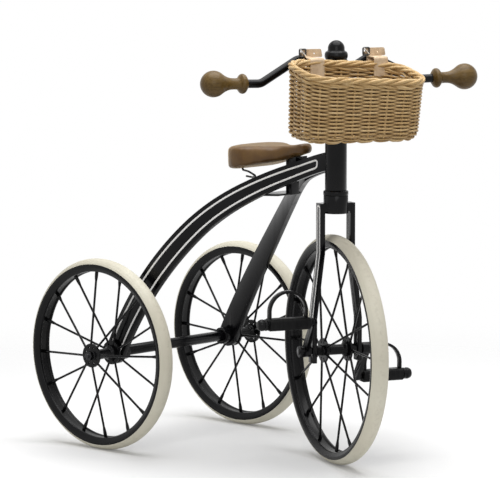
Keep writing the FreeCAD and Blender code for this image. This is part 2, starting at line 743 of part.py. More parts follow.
def basket():
    """Open wicker basket: tapered walls, a floor, and a rim that falls towards the front."""
    under = below_plane(basket_bottom_z, base_pitch_deg, 0)
    floor_top = below_plane(basket_bottom_z + basket_floor, base_pitch_deg, 0)
    rim_plane = below_plane(basket_back_rim_z, rim_pitch_deg, rim_roll_deg)
    hollow = basket_shell(basket_wall).cut(floor_top)
    return basket_shell(0).cut(hollow).cut(under).common(rim_plane).Solids[0]


def strap(middle, path, bar, basket_solid):
    """Leather strap: wraps the handlebar, hooks over the back rim, and ends in a free tongue."""
    t = strap_leather
    y0, y1 = middle - strap_width / 2, middle + strap_width / 2
    band = slab(-basket_depth, basket_depth, y0, y1, 0, head_tube_high * 2)
    wrap = tube_along(path, bar_radius + t).common(band)
    high = basket_back_rim_z + strap_gap + strap_lift
    low = basket_back_rim_z - strap_drop
    inside = basket_back_x + basket_wall + strap_gap
    outside = basket_back_x - strap_gap
    bridge = slab(0, inside + t, y0, y1, high, high + t)
    drops = [slab(inside, inside + t, y0, y1, low, high), slab(outside - t, outside, y0, y1, low, high)]
    root = middle + buckle_out + buckle_width
    tongue = slab(tongue_x - t, tongue_x, root, root + tongue_length, high, high + tongue_height)
    whole = wrap.fuse([bridge, tongue] + drops).cut([bar, basket_solid])
    return max(whole.Solids, key=lambda piece: piece.Volume)


def buckle(middle):
    """Square wire frame at the outer end of the tongue."""
    y0 = middle + buckle_out
    y1 = y0 + buckle_width
    z0 = basket_back_rim_z + strap_gap + strap_lift + strap_leather
    wire = buckle_wire
    frame = slab(tongue_x - wire, tongue_x, y0, y1, z0, z0 + buckle_height)
    return frame.cut(slab(0, tongue_x, y0 + wire, y1 - wire, z0 + wire, z0 + buckle_height - wire))


# ---- cranks and pedals -----------------------------------------------------------------------

def crank_axle():
    """Axle that the front wheel and both cranks turn on together."""
    half = crank_boss_end + crank_axle_end
    return rod(V(0, -half, front_radius), V(0, half, front_radius), axle_radius)


def pedal_centre(side):
    """Spindle line of one pedal: side -1 is the right crank, +1 the left."""
    angle = math.radians(crank_angle_deg)
    return V(-side * crank_length * math.cos(angle), 0,
             front_radius - side * crank_length * math.sin(angle))


def crank(side):
    """Flat arm with a boss on the axle and an eye for the pedal spindle."""
    eye = pedal_centre(side)
    hub_at = V(0, 0, front_radius)
    near, far = side * crank_inside, side * (crank_inside + crank_thickness)
    boss = rod(V(0, side * crank_boss_start, hub_at.z), V(0, side * crank_boss_end, hub_at.z),
               crank_boss_radius)
    ends = [rod(V(at.x, near, at.z), V(at.x, far, at.z), crank_width / 2) for at in (hub_at, eye)]
    along = (eye - hub_at).normalize()
    across = V(-along.z, 0, along.x) * (crank_width / 2)
    base = V(0, near, 0)
    face = polygon([base + hub_at + across, base + eye + across, base + eye - across,
                    base + hub_at - across])
    arm = face.extrude(V(0, far - near, 0))
    shaft = rod(V(0, -track, hub_at.z), V(0, track, hub_at.z), axle_radius)
    pin = rod(V(eye.x, near, eye.z), V(eye.x, far, eye.z), spindle_radius)
    return boss.fuse(ends + [arm]).cut([shaft, pin]).removeSplitter()


def pedal_spindle(side):
    """Pin fixed in the crank's eye, with a collar that spaces the pedal off."""
    eye = pedal_centre(side)
    start = side * crank_inside
    collar = side * (crank_inside + crank_thickness)
    end = side * (pedal_inside + pedal_length - spindle_short)
    pin = rod(V(eye.x, start, eye.z), V(eye.x, end, eye.z), spindle_radius)
    spacer = rod(V(eye.x, collar, eye.z), V(eye.x, side * (pedal_inside - spacer_gap), eye.z),
                 spindle_radius + spacer_step)
    return pin.fuse(spacer).removeSplitter()


def pedal(side):
    """Rubber block, bored for the spindle."""
    eye = pedal_centre(side)
    y0 = min(side * pedal_inside, side * (pedal_inside + pedal_length))
    block = Part.makeBox(pedal_depth, pedal_length, pedal_height,
                         V(eye.x - pedal_depth / 2, y0, eye.z - pedal_height / 2))
    long_edges = [edge for edge in block.Edges
                  if abs(edge.tangentAt(edge.FirstParameter).y) > 0.9]
    block = block.makeFillet(pedal_edge, long_edges)
    bore_end = side * (pedal_inside + pedal_length - pedal_end_wall)
    return block.cut(rod(V(eye.x, side * pedal_inside, eye.z), V(eye.x, bore_end, eye.z),
                         spindle_radius + running_gap))


def pedal_cap(side):
    """Dust cap on the pedal's outer end."""
    eye = pedal_centre(side)
    start = side * (pedal_inside + pedal_length)
    return rod(V(eye.x, start, eye.z), V(eye.x, start + side * pedal_cap_length, eye.z),
               pedal_cap_radius)


def toe_hoop(side):
    """Bent band over the pedal that the toe goes under."""
    eye = pedal_centre(side)
    middle = side * hoop_out
    base = eye.z + pedal_height / 2
    arch_z = base + hoop_leg

    def arch(radius):
        left, right = V(eye.x, middle - radius, base), V(eye.x, middle + radius, base)
        top_left, top_right = V(eye.x, left.y, arch_z), V(eye.x, right.y, arch_z)
        round_top = Part.Arc(top_left, V(eye.x, middle, arch_z + radius), top_right).toShape()
        legs = [Part.LineSegment(left, top_left).toShape(),
                Part.LineSegment(top_right, right).toShape(),
                Part.LineSegment(right, left).toShape()]
        face = Part.Face(Part.Wire(Part.__sortEdges__([round_top] + legs)))
        face.translate(V(-hoop_depth / 2, 0, 0))
        return face.extrude(V(hoop_depth, 0, 0))

    return arch(hoop_half_width + hoop_band / 2).cut(arch(hoop_half_width - hoop_band / 2))


# ---- assembly --------------------------------------------------------------------------------

def build():
    """Every node of the tricycle by name, in place."""
    nodes = {}
    left_beam = beam_left()
    right_beam = mirrored(left_beam)
    beams = [left_beam, right_beam]
    saddle = seat()
    nodes["frame_beam_left"] = left_beam
    nodes["frame_beam_right"] = right_beam
    nodes["axle_tube"] = axle_tube()
    nodes["foot_lugs"] = Part.makeCompound([foot_lug_left(left_beam), mirrored(foot_lug_left(left_beam))])
    nodes["rear_axle"] = rear_axle()
    nodes["axle_nuts"] = Part.makeCompound([axle_nut_left(), mirrored(axle_nut_left())])
    nodes["cross_plate"] = cross_plate()
    nodes["head_tube"] = head_tube()
    nodes["lower_cup"] = bearing_cup(head_tube_low - cup_height)
    nodes["upper_cup"] = bearing_cup(head_tube_high)
    nodes["seat"] = saddle
    nodes["seat_post"] = seat_post(saddle)
    nodes["seat_nose_clamp"] = seat_nose_clamp(beams, saddle)
    nodes["seat_lever"] = seat_lever(saddle)

    path = handlebar_path()
    bar = tube_along(path, bar_radius)
    wicker = basket()
    nodes["fork_crown"] = steered(fork_crown())
    nodes["steerer"] = steered(steerer())
    nodes["lock_nut"] = steered(lock_nut())
    nodes["stem"] = steered(stem(bar))
    nodes["stem_cap"] = steered(stem_cap())
    nodes["handlebar"] = steered(bar)
    nodes["basket"] = steered(wicker)
    for name, shape in (("fork_leg_", fork_leg_left()), ("grip_", grip_left(bar))):
        nodes[name + "left"] = steered(shape)
        nodes[name + "right"] = steered(mirrored(shape))
    for name, middle in strap_places:
        nodes["strap_" + name] = steered(strap(middle, path, bar, wicker))
        nodes["buckle_" + name] = steered(buckle(middle))

    nodes.update(front_wheel_nodes())
    nodes["crank_axle"] = steered(crank_axle())
    for name, side in (("right", -1), ("left", 1)):
        nodes["crank_" + name] = steered(crank(side))
        nodes["pedal_spindle_" + name] = steered(pedal_spindle(side))
        nodes["pedal_" + name] = steered(pedal(side))
        nodes["pedal_cap_" + name] = steered(pedal_cap(side))
        nodes["toe_hoop_" + name] = steered(toe_hoop(side))
        nodes.update(rear_wheel_nodes(name, side, dict(rear_spoke_phase_deg)[name]))
    return nodes


def middle_of(nodes):
    """Middle of the overall box, at floor level."""
    box = FreeCAD.BoundBox()
    for shape in nodes.values():
        box.add(shape.optimalBoundingBox(False))
    return V(box.Center.x, box.Center.y, 0)


pieces = build()
origin = middle_of(pieces)
os.makedirs("parts", exist_ok=True)
for node, shape in pieces.items():
    shape.translate(origin * -1)
    shape.exportStep("parts/" + node + ".step")
print(len(pieces), "nodes; rear axle to origin", round(origin.x, 3), round(origin.y, 3))
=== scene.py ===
import bpy, bmesh, json, math
from mathutils import Matrix, Vector
from mathutils.bvhtree import BVHTree
from mathutils.kdtree import KDTree

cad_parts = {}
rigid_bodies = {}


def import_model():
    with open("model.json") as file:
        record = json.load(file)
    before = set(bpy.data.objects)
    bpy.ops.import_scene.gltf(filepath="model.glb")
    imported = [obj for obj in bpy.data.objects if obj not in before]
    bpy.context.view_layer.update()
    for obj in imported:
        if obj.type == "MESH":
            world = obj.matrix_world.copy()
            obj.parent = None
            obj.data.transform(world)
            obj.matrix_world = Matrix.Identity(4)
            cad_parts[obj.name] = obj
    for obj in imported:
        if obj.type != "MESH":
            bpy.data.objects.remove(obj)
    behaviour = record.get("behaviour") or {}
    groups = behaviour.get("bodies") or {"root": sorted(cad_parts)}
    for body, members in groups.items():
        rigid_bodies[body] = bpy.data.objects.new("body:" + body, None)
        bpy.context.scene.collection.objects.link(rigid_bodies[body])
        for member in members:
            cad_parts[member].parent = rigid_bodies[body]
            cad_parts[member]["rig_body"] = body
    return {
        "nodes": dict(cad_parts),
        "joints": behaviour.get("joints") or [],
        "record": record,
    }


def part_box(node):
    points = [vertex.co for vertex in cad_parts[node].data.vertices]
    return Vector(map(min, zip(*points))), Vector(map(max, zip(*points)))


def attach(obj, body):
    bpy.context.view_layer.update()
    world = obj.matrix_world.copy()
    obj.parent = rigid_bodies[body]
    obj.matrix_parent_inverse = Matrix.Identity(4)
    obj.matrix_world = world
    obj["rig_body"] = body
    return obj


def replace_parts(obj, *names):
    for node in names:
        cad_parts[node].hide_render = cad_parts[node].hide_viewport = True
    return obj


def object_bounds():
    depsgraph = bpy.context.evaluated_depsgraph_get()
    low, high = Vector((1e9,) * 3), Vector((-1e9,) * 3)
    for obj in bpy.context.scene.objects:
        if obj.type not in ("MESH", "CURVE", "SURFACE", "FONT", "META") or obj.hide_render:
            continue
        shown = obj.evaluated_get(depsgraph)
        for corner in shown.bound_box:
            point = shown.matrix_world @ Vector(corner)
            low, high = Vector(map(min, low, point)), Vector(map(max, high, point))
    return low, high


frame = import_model()
cad_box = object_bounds()
nodes = frame["nodes"]
joints = {joint["name"]: joint for joint in frame["joints"]}
mm = 0.001


# ---- frame -----------------------------------------------------------------------------------
# Two flat steel beams bow up from the rear axle tube and close together on the head tube, where
# they are welded. A folded plate ties them under the saddle. Everything is stoved gloss black,
# and the corners of the bar are broken before painting.

def feed(tree, kind, *sources, out=0, **named):
    """Adds one node to a tree, sets it up, joins or sets its sockets, and gives its output."""
    made = tree.nodes.new(kind)
    labelled = []
    for key, value in named.items():
        if key[0].isupper():
            labelled.append((key.replace("_", " "), value))
        else:
            setattr(made, key, value)
    live = [socket for socket in made.inputs if socket.enabled]
    pairs = list(zip(live, sources))
    for label, value in labelled:
        pairs.append((next(socket for socket in live if socket.name == label), value))
    for socket, source in pairs:
        if isinstance(source, bpy.types.NodeSocket):
            tree.links.new(source, socket)
        elif source is not None:
            socket.default_value = source
    if isinstance(out, str):
        return made.outputs[out]
    return [socket for socket in made.outputs if socket.enabled][out]


def finish(name, roughness, specular=0.5, metallic=0.0):
    """A new material, its tree, its shader with the plain values set, and places on the piece."""
    material = bpy.data.materials.new(name)
    material.use_nodes = True
    shader = material.node_tree.nodes["Principled BSDF"]
    shader.inputs["Roughness"].default_value = roughness
    shader.inputs["Specular IOR Level"].default_value = specular
    shader.inputs["Metallic"].default_value = metallic
    return material, material.node_tree, shader, feed(material.node_tree, "ShaderNodeTexCoord",
                                                      out="Object")


def arithmetic(tree, operation, *values):
    """One sum in a tree."""
    return feed(tree, "ShaderNodeMath", *values, operation=operation)


def noise(tree, where, *settings, stretch=None, **named):
    """Soft noise through a piece, drawn out along an axis where it is stretched."""
    if stretch:
        where = feed(tree, "ShaderNodeMapping", where, Scale=stretch)
    return feed(tree, "ShaderNodeTexNoise", where, *settings, **named)


def dress(tree, shader, colour, shine=None, relief=None):
    """Joins a colour to a shader, a shine that follows a pattern, and a relief in metres."""
    tree.links.new(colour, shader.inputs["Base Color"])
    if shine:
        tree.links.new(feed(tree, "ShaderNodeMapRange", *shine), shader.inputs["Roughness"])
    if relief:
        height, strength, distance = relief
        tree.links.new(feed(tree, "ShaderNodeBump", Strength=strength, Distance=distance,
                            Height=height), shader.inputs["Normal"])


def blend_of(tree, factor, *stops):
    """Colour ramp through (place, colour) stops."""
    ramp = tree.nodes.new("ShaderNodeValToRGB")
    tree.links.new(factor, ramp.inputs["Fac"])
    points = ramp.color_ramp.elements
    while len(points) < len(stops):
        points.new(0.5)
    for point, (place, colour) in zip(points, sorted(stops, key=lambda stop: stop[0])):
        point.position = place
        point.color = (*colour, 1.0)
    return ramp.outputs["Color"]


def enamel(name, dark, light, gloss):
    """Stoved enamel: faint orange peel, duller patches, and fine rubbing in the gloss."""
    material, tree, shader, here = finish(name, gloss, specular=0.16)
    patches = noise(tree, here, 24.0, 4.0, 0.55)
    rubs = noise(tree, here, 160.0, 3.0, 0.6, stretch=(1.0, 1.0, 9.0))
    peel = noise(tree, here, 420.0, 1.0)
    worn = arithmetic(tree, "MULTIPLY", patches, rubs)
    dress(tree, shader, blend_of(tree, patches, (0.38, dark), (0.68, light)),
          (worn, 0.12, 0.5, gloss, gloss + 0.16), (peel, 0.12, 0.3 * mm))
    return material


def set_out(name, data):
    """A new object in the scene."""
    made = bpy.data.objects.new(name, data)
    bpy.context.scene.collection.objects.link(made)
    return made


def placed(name, mesh, body, material=None, smooth_angle=35.0):
    """Puts a finished mesh on a body as one piece of the tricycle."""
    mesh.name = name
    if material:
        mesh.materials.clear()
        mesh.materials.append(material)
    mesh.polygons.foreach_set("use_smooth", [True] * len(mesh.polygons))
    if smooth_angle:
        mesh.set_sharp_from_angle(angle=math.radians(smooth_angle))
    piece = set_out(name, mesh)
    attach(piece, body)
    return piece


def mesh_of(name, work):
    """The worked faces as a mesh; the work is put away."""
    mesh = bpy.data.meshes.new(name)
    work.to_mesh(mesh)
    work.free()
    return mesh


def plain_mesh(piece):
    """The piece as its modifiers leave it, as a mesh of its own."""
    depsgraph = bpy.context.evaluated_depsgraph_get()
    return bpy.data.meshes.new_from_object(piece.evaluated_get(depsgraph),
                                           preserve_all_data_layers=True, depsgraph=depsgraph)


def eased(node, ease, material, steps=2):
    """A CAD piece's own shape with its corners broken, standing in for the sharp one."""
    work = bmesh.new()
    work.from_mesh(nodes[node].data)
    bmesh.ops.remove_doubles(work, verts=work.verts, dist=1e-6)
    bmesh.ops.dissolve_limit(work, angle_limit=math.radians(0.4), verts=work.verts,
                             edges=work.edges)
    mesh = mesh_of(node, work)
    mesh.polygons.foreach_set("use_smooth", [True] * len(mesh.polygons))
    blank = set_out(node + "_blank", mesh)
    edges = blank.modifiers.new("edges", "BEVEL")
    edges.width, edges.segments = ease, steps
    edges.limit_method, edges.angle_limit = "ANGLE", math.radians(32)
    edges.use_clamp_overlap = True
    edges.harden_normals = True
    mesh = plain_mesh(blank)
    bpy.data.objects.remove(blank)
    piece = placed(node + "_eased", mesh, nodes[node]["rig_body"], material, None)
    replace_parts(piece, node)
    return piece


def coat(node, material):
    """Gives a CAD piece that keeps its own shape its finish."""
    nodes[node].data.materials.clear()
    nodes[node].data.materials.append(material)


black = enamel("stoved_black", (0.0014, 0.0014, 0.0018), (0.0045, 0.0045, 0.0052), 0.14)
for node in ("frame_beam_left", "frame_beam_right", "cross_plate", "seat_post",
             "seat_nose_clamp"):
    eased(node, 0.9 * mm, black)
for node in ("foot_lugs", "axle_tube", "head_tube"):
    eased(node, 0.6 * mm, black)


# ---- pinstripes ------------------------------------------------------------------------------
# A coach line in off-white enamel runs round the outer face of each beam and down each fork
# leg. It is drawn with a brush a few millimetres in from the edge, turns round at both ends,
# and stands a hair proud of the black.

def outline_of(node, outward):
    """Points in order round the face of a CAD piece that looks outward."""
    work = bmesh.new()
    work.from_mesh(nodes[node].data)
    bmesh.ops.remove_doubles(work, verts=work.verts, dist=1e-6)
    facing = {face for face in work.faces if face.normal.dot(outward) > 0.5}
    rim = dict.fromkeys(edge for edge in work.edges
                        if sum(face in facing for face in edge.link_faces) == 1)
    loops = []
    while rim:
        edge = next(iter(rim))
        del rim[edge]
        start, here = edge.verts
        loop = [start.co.copy(), here.co.copy()]
        while here is not start:
            ahead = [step for step in here.link_edges if step in rim]
            if not ahead:
                break
            del rim[ahead[0]]
            here = ahead[0].other_vert(here)
            loop.append(here.co.copy())
        loops.append(loop)
    work.free()
    return max(loops, key=lambda loop: sum((a - b).length for a, b in zip(loop, loop[1:])))


def evenly(points, spacing):
    """The closed chain of points again, at equal steps."""
    chain = points + points[:1]
    lengths = [(b - a).length for a, b in zip(chain, chain[1:])]
    count = max(8, round(sum(lengths) / spacing))
    gap = sum(lengths) / count
    even, travelled, target = [], 0.0, 0.0
    for a, b, length in zip(chain, chain[1:], lengths):
        while target < travelled + length - 1e-9 and len(even) < count:
            even.append(a.lerp(b, (target - travelled) / length))
            target += gap
        travelled += length
    return even


def coach_line(work, node, outward, inset, width, lowest=0.0, foremost=1.0):
    """Adds one closed painted line, laid on the outward face of a CAD piece."""
    outward = Vector(outward).normalized()
    face_of = bmesh.new()
    face_of.from_mesh(nodes[node].data)
    skin = BVHTree.FromBMesh(face_of)
    face_of.free()
    edge = evenly(outline_of(node, outward)[:-1], 0.8 * mm)
    turn_about = sum((a.cross(b) for a, b in zip(edge, edge[1:] + edge[:1])), Vector())
    way = 1.0 if turn_about.dot(outward) > 0 else -1.0
    near = KDTree(len(edge))
    for index, point in enumerate(edge):
        near.insert(point, index)
    near.balance()

    def inward_at(points, index):
        along = (points[(index + 1) % len(points)] - points[index - 1]).normalized()
        return outward.cross(along).normalized() * way

    line = []
    for index, point in enumerate(edge):
        place = point + inward_at(edge, index) * inset
        if near.find(place)[2] > inset * 0.985 and place.z > lowest and place.x < foremost:
            line.append(place)
    line = evenly(line, 1.0 * mm)
    for _ in range(20):
        line = [(line[i - 1] + line[i] * 2 + line[(i + 1) % len(line)]) / 4
                for i in range(len(line))]
    line = evenly(line, 2.0 * mm)
    rows = []
    for index, point in enumerate(line):
        inward = inward_at(line, index)
        row = []
        for across, proud in ((-0.5, -0.05), (-0.38, 0.14), (0.38, 0.14), (0.5, -0.05)):
            foot, normal = skin.find_nearest(point + inward * across * width)[:2]
            if normal.dot(outward) < 0:
                normal = -normal
            row.append(work.verts.new(foot + normal * proud * mm))
        rows.append(row)
    for this, after in zip(rows, rows[1:] + rows[:1]):
        for a, b, c, d in zip(this, this[1:], after[1:], after):
            face = work.faces.new((a, b, c, d))
            face.normal_update()
            if face.normal.dot(outward) < 0:
                face.normal_flip()


line_paint, tree, shader, here = finish("coach_line_paint", 0.32)
brushed = noise(tree, here, 260.0, 3.0)
dress(tree, shader, blend_of(tree, brushed, (0.3, (0.86, 0.85, 0.82)), (0.62, (0.95, 0.94, 0.92))),
      relief=(brushed, 0.15, 0.2 * mm))
work = bmesh.new()
for side, node in ((-1, "frame_beam_right"), (1, "frame_beam_left")):
    coach_line(work, node, (0, side, 0), 8.0 * mm, 3.0 * mm,
               foremost=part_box("head_tube")[0].x - 9.5 * mm)
placed("beam_lines", mesh_of("beam_lines", work), "frame", line_paint, None)


# ---- head bearings and rear axle -------------------------------------------------------------
# Two turned cups are pressed on the ends of the head tube, and the steerer runs in them. The
# rear axle is plain bar through the axle tube, with a hexagon nut on each end outside its hub.

bright_steel, tree, shader, here = finish("turned_steel", 0.3, metallic=1.0)
turning = noise(tree, here, 300.0, 3.0, stretch=(4.0, 1.0, 4.0))
dress(tree, shader, blend_of(tree, turning, (0.3, (0.025, 0.025, 0.027)),
                             (0.7, (0.06, 0.06, 0.063))), (turning, 0.3, 0.7, 0.22, 0.42))
for node in ("lower_cup", "upper_cup"):
    eased(node, 1.0 * mm, black)
eased("axle_nuts", 0.7 * mm, bright_steel)
eased("rear_axle", 0.5 * mm, bright_steel)
coat("seat_lever", black)


# ---- tyres -----------------------------------------------------------------------------------
# Solid cream rubber, moulded in one ring and pressed into the rim's channel. The tread is a
# plain round with a faint mould line near each shoulder, and picks up a little floor dirt.

def turned(name, profile, rounds, loop=True):
    """Mesh turned about the Y axis from (y, radius) points, with turn and distance as its UV."""
    work = bmesh.new()
    chart = work.loops.layers.uv.new("turned")
    rings = []
    for step in range(rounds):
        angle = 2 * math.pi * step / rounds
        rings.append([work.verts.new((radius * math.sin(angle), y, radius * math.cos(angle)))
                      for y, radius in profile])
    distance = [0.0]
    closed = profile + profile[:1] if loop else profile
    for a, b in zip(closed, closed[1:]):
        distance.append(distance[-1] + math.dist(a, b))
    for step in range(rounds):
        ring, after = rings[step], rings[(step + 1) % rounds]
        for index in range(len(closed) - 1):
            ahead = (index + 1) % len(profile)
            face = work.faces.new((ring[index], ring[ahead], after[ahead], after[index]))
            places = ((step, index), (step, index + 1), (step + 1, index + 1), (step + 1, index))
            for corner, (turn, across) in zip(face.loops, places):
                corner[chart].uv = (turn / rounds, distance[across])
    bmesh.ops.remove_doubles(work, verts=work.verts, dist=1e-7)
    bmesh.ops.recalc_face_normals(work, faces=work.faces)
    return mesh_of(name, work)


def softened(corners, ease, loop=True, steps=3):
    """The same outline with each corner turned into a small arc."""
    points = []
    for index, corner in enumerate(corners):
        if not loop and index in (0, len(corners) - 1):
            points.append(tuple(corner))
            continue
        here, before = Vector(corner), Vector(corners[index - 1])
        after = Vector(corners[(index + 1) % len(corners)])
        start = here + (before - here).normalized() * min(ease, (before - here).length * 0.45)
        end = here + (after - here).normalized() * min(ease, (after - here).length * 0.45)
        for step in range(steps + 1):
            t = step / steps
            points.append(tuple(start * (1 - t) ** 2 + here * 2 * t * (1 - t) + end * t * t))
    return points


def place_of(joint_name):
    """Where a wheel's or pedal's axis is, and how it is turned."""
    joint = joints[joint_name]
    turn = math.atan2(-joint["axis"][0], joint["axis"][1])
    return Matrix.Translation(joint["pos_m"]) @ Matrix.Rotation(turn, 4, "Z")


wheels = []
for body in ("rear_wheel_right", "rear_wheel_left", "front_wheel"):
    names = {what: next(node for node in frame["record"]["behaviour"]["bodies"][body]
                        if what in node) for what in ("tyre", "rim", "hub", "spokes")}
    place = place_of(body + "_spin")
    outside = place.translation.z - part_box(names["tyre"])[0].z
    front = body == "front_wheel"
    wheels.append({"body": body, "place": place, "outside": outside, **names,
                   "flange_out": (20 if front else 22) * mm, "hub_half": (33 if front else 25) * mm,
                   "first_side": 1.0 if front else -1.0})

tyre_rise, tyre_seat = 8.0 * mm, 6.0 * mm
tread_half = 14.0 * mm
tread_round = (tread_half ** 2 + tyre_rise ** 2) / (2 * tyre_rise)
tread_reach = math.asin(tread_half / tread_round)
mould_line, mould_deep = (9.8 * mm, 10.8 * mm), 0.35 * mm
shoulder, tyre_foot = 13.7 * mm, 11.0 * mm

cream, tree, shader, here = finish("cream_rubber", 0.62, specular=0.35)
across = feed(tree, "ShaderNodeSeparateXYZ", feed(tree, "ShaderNodeUVMap", uv_map="turned"),
              out="Y")
bloom = noise(tree, here, 14.0, 4.0)
dirt = noise(tree, here, 170.0, 5.0, 0.65)
tint = blend_of(tree, bloom, (0.35, (0.63, 0.595, 0.485)), (0.66, (0.71, 0.68, 0.565)))
from_middle = arithmetic(tree, "ABSOLUTE", arithmetic(
    tree, "SUBTRACT", across, tread_round * tread_reach))
crown_of_tread = feed(tree, "ShaderNodeMapRange", from_middle, 0.0, 8.0 * mm, 0.35, 0.0)
grime = arithmetic(tree, "MULTIPLY", crown_of_tread,
                   feed(tree, "ShaderNodeMapRange", dirt, 0.48, 0.75, 0.0, 1.0))
dress(tree, shader, feed(tree, "ShaderNodeMix", data_type="RGBA", Factor=grime, A=tint,
                         B=(0.36, 0.33, 0.26, 1.0)),
      (dirt, 0.3, 0.7, 0.52, 0.74), (dirt, 0.25, 0.2 * mm))

for wheel in wheels:
    outside, steps = wheel["outside"], 30
    lip = outside - tyre_rise
    profile = []
    for step in range(steps + 1):
        angle = -tread_reach + 2 * tread_reach * step / steps
        y = tread_round * math.sin(angle)
        radius = outside - tread_round + tread_round * math.cos(angle)
        if mould_line[0] < abs(y) < mould_line[1]:
            radius -= mould_deep
        profile.append((y, radius))
    right = [(shoulder, lip - 0.3 * mm), (tyre_foot + 0.05 * mm, lip - 0.2 * mm),
             (tyre_foot, lip - tyre_seat)]
    profile += right + [(-y, radius) for y, radius in reversed(right)]
    mesh = turned(wheel["tyre"], profile, 144)
    mesh.transform(wheel["place"])
    ring = placed(wheel["tyre"] + "_moulded", mesh, wheel["body"], cream, 50.0)
    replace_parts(ring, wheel["tyre"])


# ---- rims ------------------------------------------------------------------------------------
# Each rim is rolled from steel strip to a channel for the tyre, with a groove inside for the
# spoke nipples, welded into a hoop and stoved black like the frame.

wheel_black = enamel("rim_black", (0.0016, 0.0016, 0.0019), (0.005, 0.005, 0.0056), 0.20)
rim_half, rim_lip, rim_deep = 14.0 * mm, 3.0 * mm, 12.5 * mm
for wheel in wheels:
    lip = wheel["outside"] - tyre_rise
    crest, bed, foot = lip - rim_deep, lip - tyre_seat, rim_half - rim_lip
    right = [(foot, bed), (foot, lip), (rim_half, lip), (rim_half, lip - 5.0 * mm),
             (rim_half - 2.5 * mm, crest + 1.0 * mm), (rim_half - 6.0 * mm, crest),
             (5.0 * mm, crest + 2.0 * mm)]
    left = [(-y, radius) for y, radius in reversed(right)]
    mesh = turned(wheel["rim"], softened(right + left, 1.1 * mm), 144)
    mesh.transform(wheel["place"])
    hoop = placed(wheel["rim"] + "_rolled", mesh, wheel["body"], wheel_black, 40.0)
    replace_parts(hoop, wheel["rim"])


# ---- spokes ----------------------------------------------------------------------------------
# Sixteen straight steel spokes a wheel, laced to the two flanges in turn. Each has a small head
# at the hub, and a long tapered nipple where it comes through the rim; all are black.

def size_tree(name, sizes):
    """A geometry tree with a named input for each size, and those inputs by name."""
    tree = bpy.data.node_groups.new(name, "GeometryNodeTree")
    tree.interface.new_socket("Geometry", in_out="INPUT", socket_type="NodeSocketGeometry")
    tree.interface.new_socket("Geometry", in_out="OUTPUT", socket_type="NodeSocketGeometry")
    for label, value in sizes.items():
        kind = "NodeSocketInt" if isinstance(value, int) else "NodeSocketFloat"
        tree.interface.new_socket(label, in_out="INPUT", socket_type=kind).default_value = value
    entry = tree.nodes.new("NodeGroupInput")
    return tree, {socket.name: socket for socket in entry.outputs if socket.name}


def end_tree(tree, shape, material):
    """Realizes what a tree made, gives it its material, and sends it out."""
    whole = feed(tree, "GeometryNodeRealizeInstances", shape)
    dressed = feed(tree, "GeometryNodeSetMaterial", whole, Material=material)
    tree.links.new(dressed, tree.nodes.new("NodeGroupOutput").inputs[0])


def grown(name, tree, sizes, start=None):
    """Runs a tree with these sizes and keeps the result as a plain mesh."""
    seed = set_out(name, start or bpy.data.meshes.new(name + "_start"))
    run = seed.modifiers.new("grow", "NODES")
    run.node_group = tree
    for item in tree.interface.items_tree:
        if item.in_out == "INPUT" and item.name in sizes:
            run[item.identifier] = sizes[item.name]
    mesh = plain_mesh(seed)
    bpy.data.objects.remove(seed)
    return mesh


def vector_of(tree, x, y, z):
    """Three numbers as one vector in a tree."""
    return feed(tree, "ShaderNodeCombineXYZ", x, y, z)


spoke_sizes = {"Spokes": 16, "Flange Out": 22 * mm, "Foot Radius": 17 * mm, "Tip Radius": 0.125,
               "Tip Out": 0.5 * mm, "Wire Radius": 1.8 * mm, "Nipple Radius": 2.8 * mm,
               "Nipple Length": 17 * mm, "Turned": 0.0, "First Side": 1.0}
lacing, size = size_tree("lacing", spoke_sizes)
foot = vector_of(lacing, 0.0, arithmetic(lacing, "MULTIPLY", size["Flange Out"],
                                         size["First Side"]), size["Foot Radius"])
tip = vector_of(lacing, 0.0, arithmetic(lacing, "MULTIPLY", size["Tip Out"], size["First Side"]),
                size["Tip Radius"])
wire = feed(lacing, "GeometryNodeCurveToMesh",
            feed(lacing, "GeometryNodeCurvePrimitiveLine", foot, tip),
            feed(lacing, "GeometryNodeCurvePrimitiveCircle", 10, Radius=size["Wire Radius"]),
            Fill_Caps=True)
length = feed(lacing, "ShaderNodeVectorMath", foot, tip, operation="DISTANCE", out="Value")
share = arithmetic(lacing, "DIVIDE", size["Nipple Length"], length)
nipple_start = feed(lacing, "ShaderNodeMix", data_type="VECTOR", Factor=share, A=tip, B=foot)
nipple_line = feed(lacing, "GeometryNodeResampleCurve",
                   feed(lacing, "GeometryNodeCurvePrimitiveLine", nipple_start, tip), Count=7)
part_way = feed(lacing, "GeometryNodeSplineParameter", out="Factor")
taper = feed(lacing, "ShaderNodeMapRange", part_way, 0.0, 0.4, 0.7, 1.0)
nipple = feed(lacing, "GeometryNodeCurveToMesh", nipple_line,
              feed(lacing, "GeometryNodeCurvePrimitiveCircle", 10, Radius=size["Nipple Radius"]),
              Scale=taper, Fill_Caps=True)
head = feed(lacing, "GeometryNodeSetPosition",
            feed(lacing, "GeometryNodeMeshUVSphere", 10, 6, 2.4 * mm), Offset=foot)
one = lacing.nodes.new("GeometryNodeJoinGeometry")
for shape in (wire, nipple, head):
    lacing.links.new(shape, one.inputs[0])
points = feed(lacing, "GeometryNodeMeshLine", size["Spokes"], Offset=(0.0, 0.0, 0.0))
number = feed(lacing, "GeometryNodeInputIndex")
other_flange = arithmetic(lacing, "MULTIPLY", arithmetic(lacing, "MODULO", number, 2.0), math.pi)
laced = feed(lacing, "GeometryNodeInstanceOnPoints", points, Instance=one.outputs[0],
             Rotation=vector_of(lacing, 0.0, 0.0, other_flange))
round_hub = arithmetic(lacing, "ADD", size["Turned"], arithmetic(
    lacing, "MULTIPLY", number, arithmetic(lacing, "DIVIDE", 2 * math.pi, size["Spokes"])))
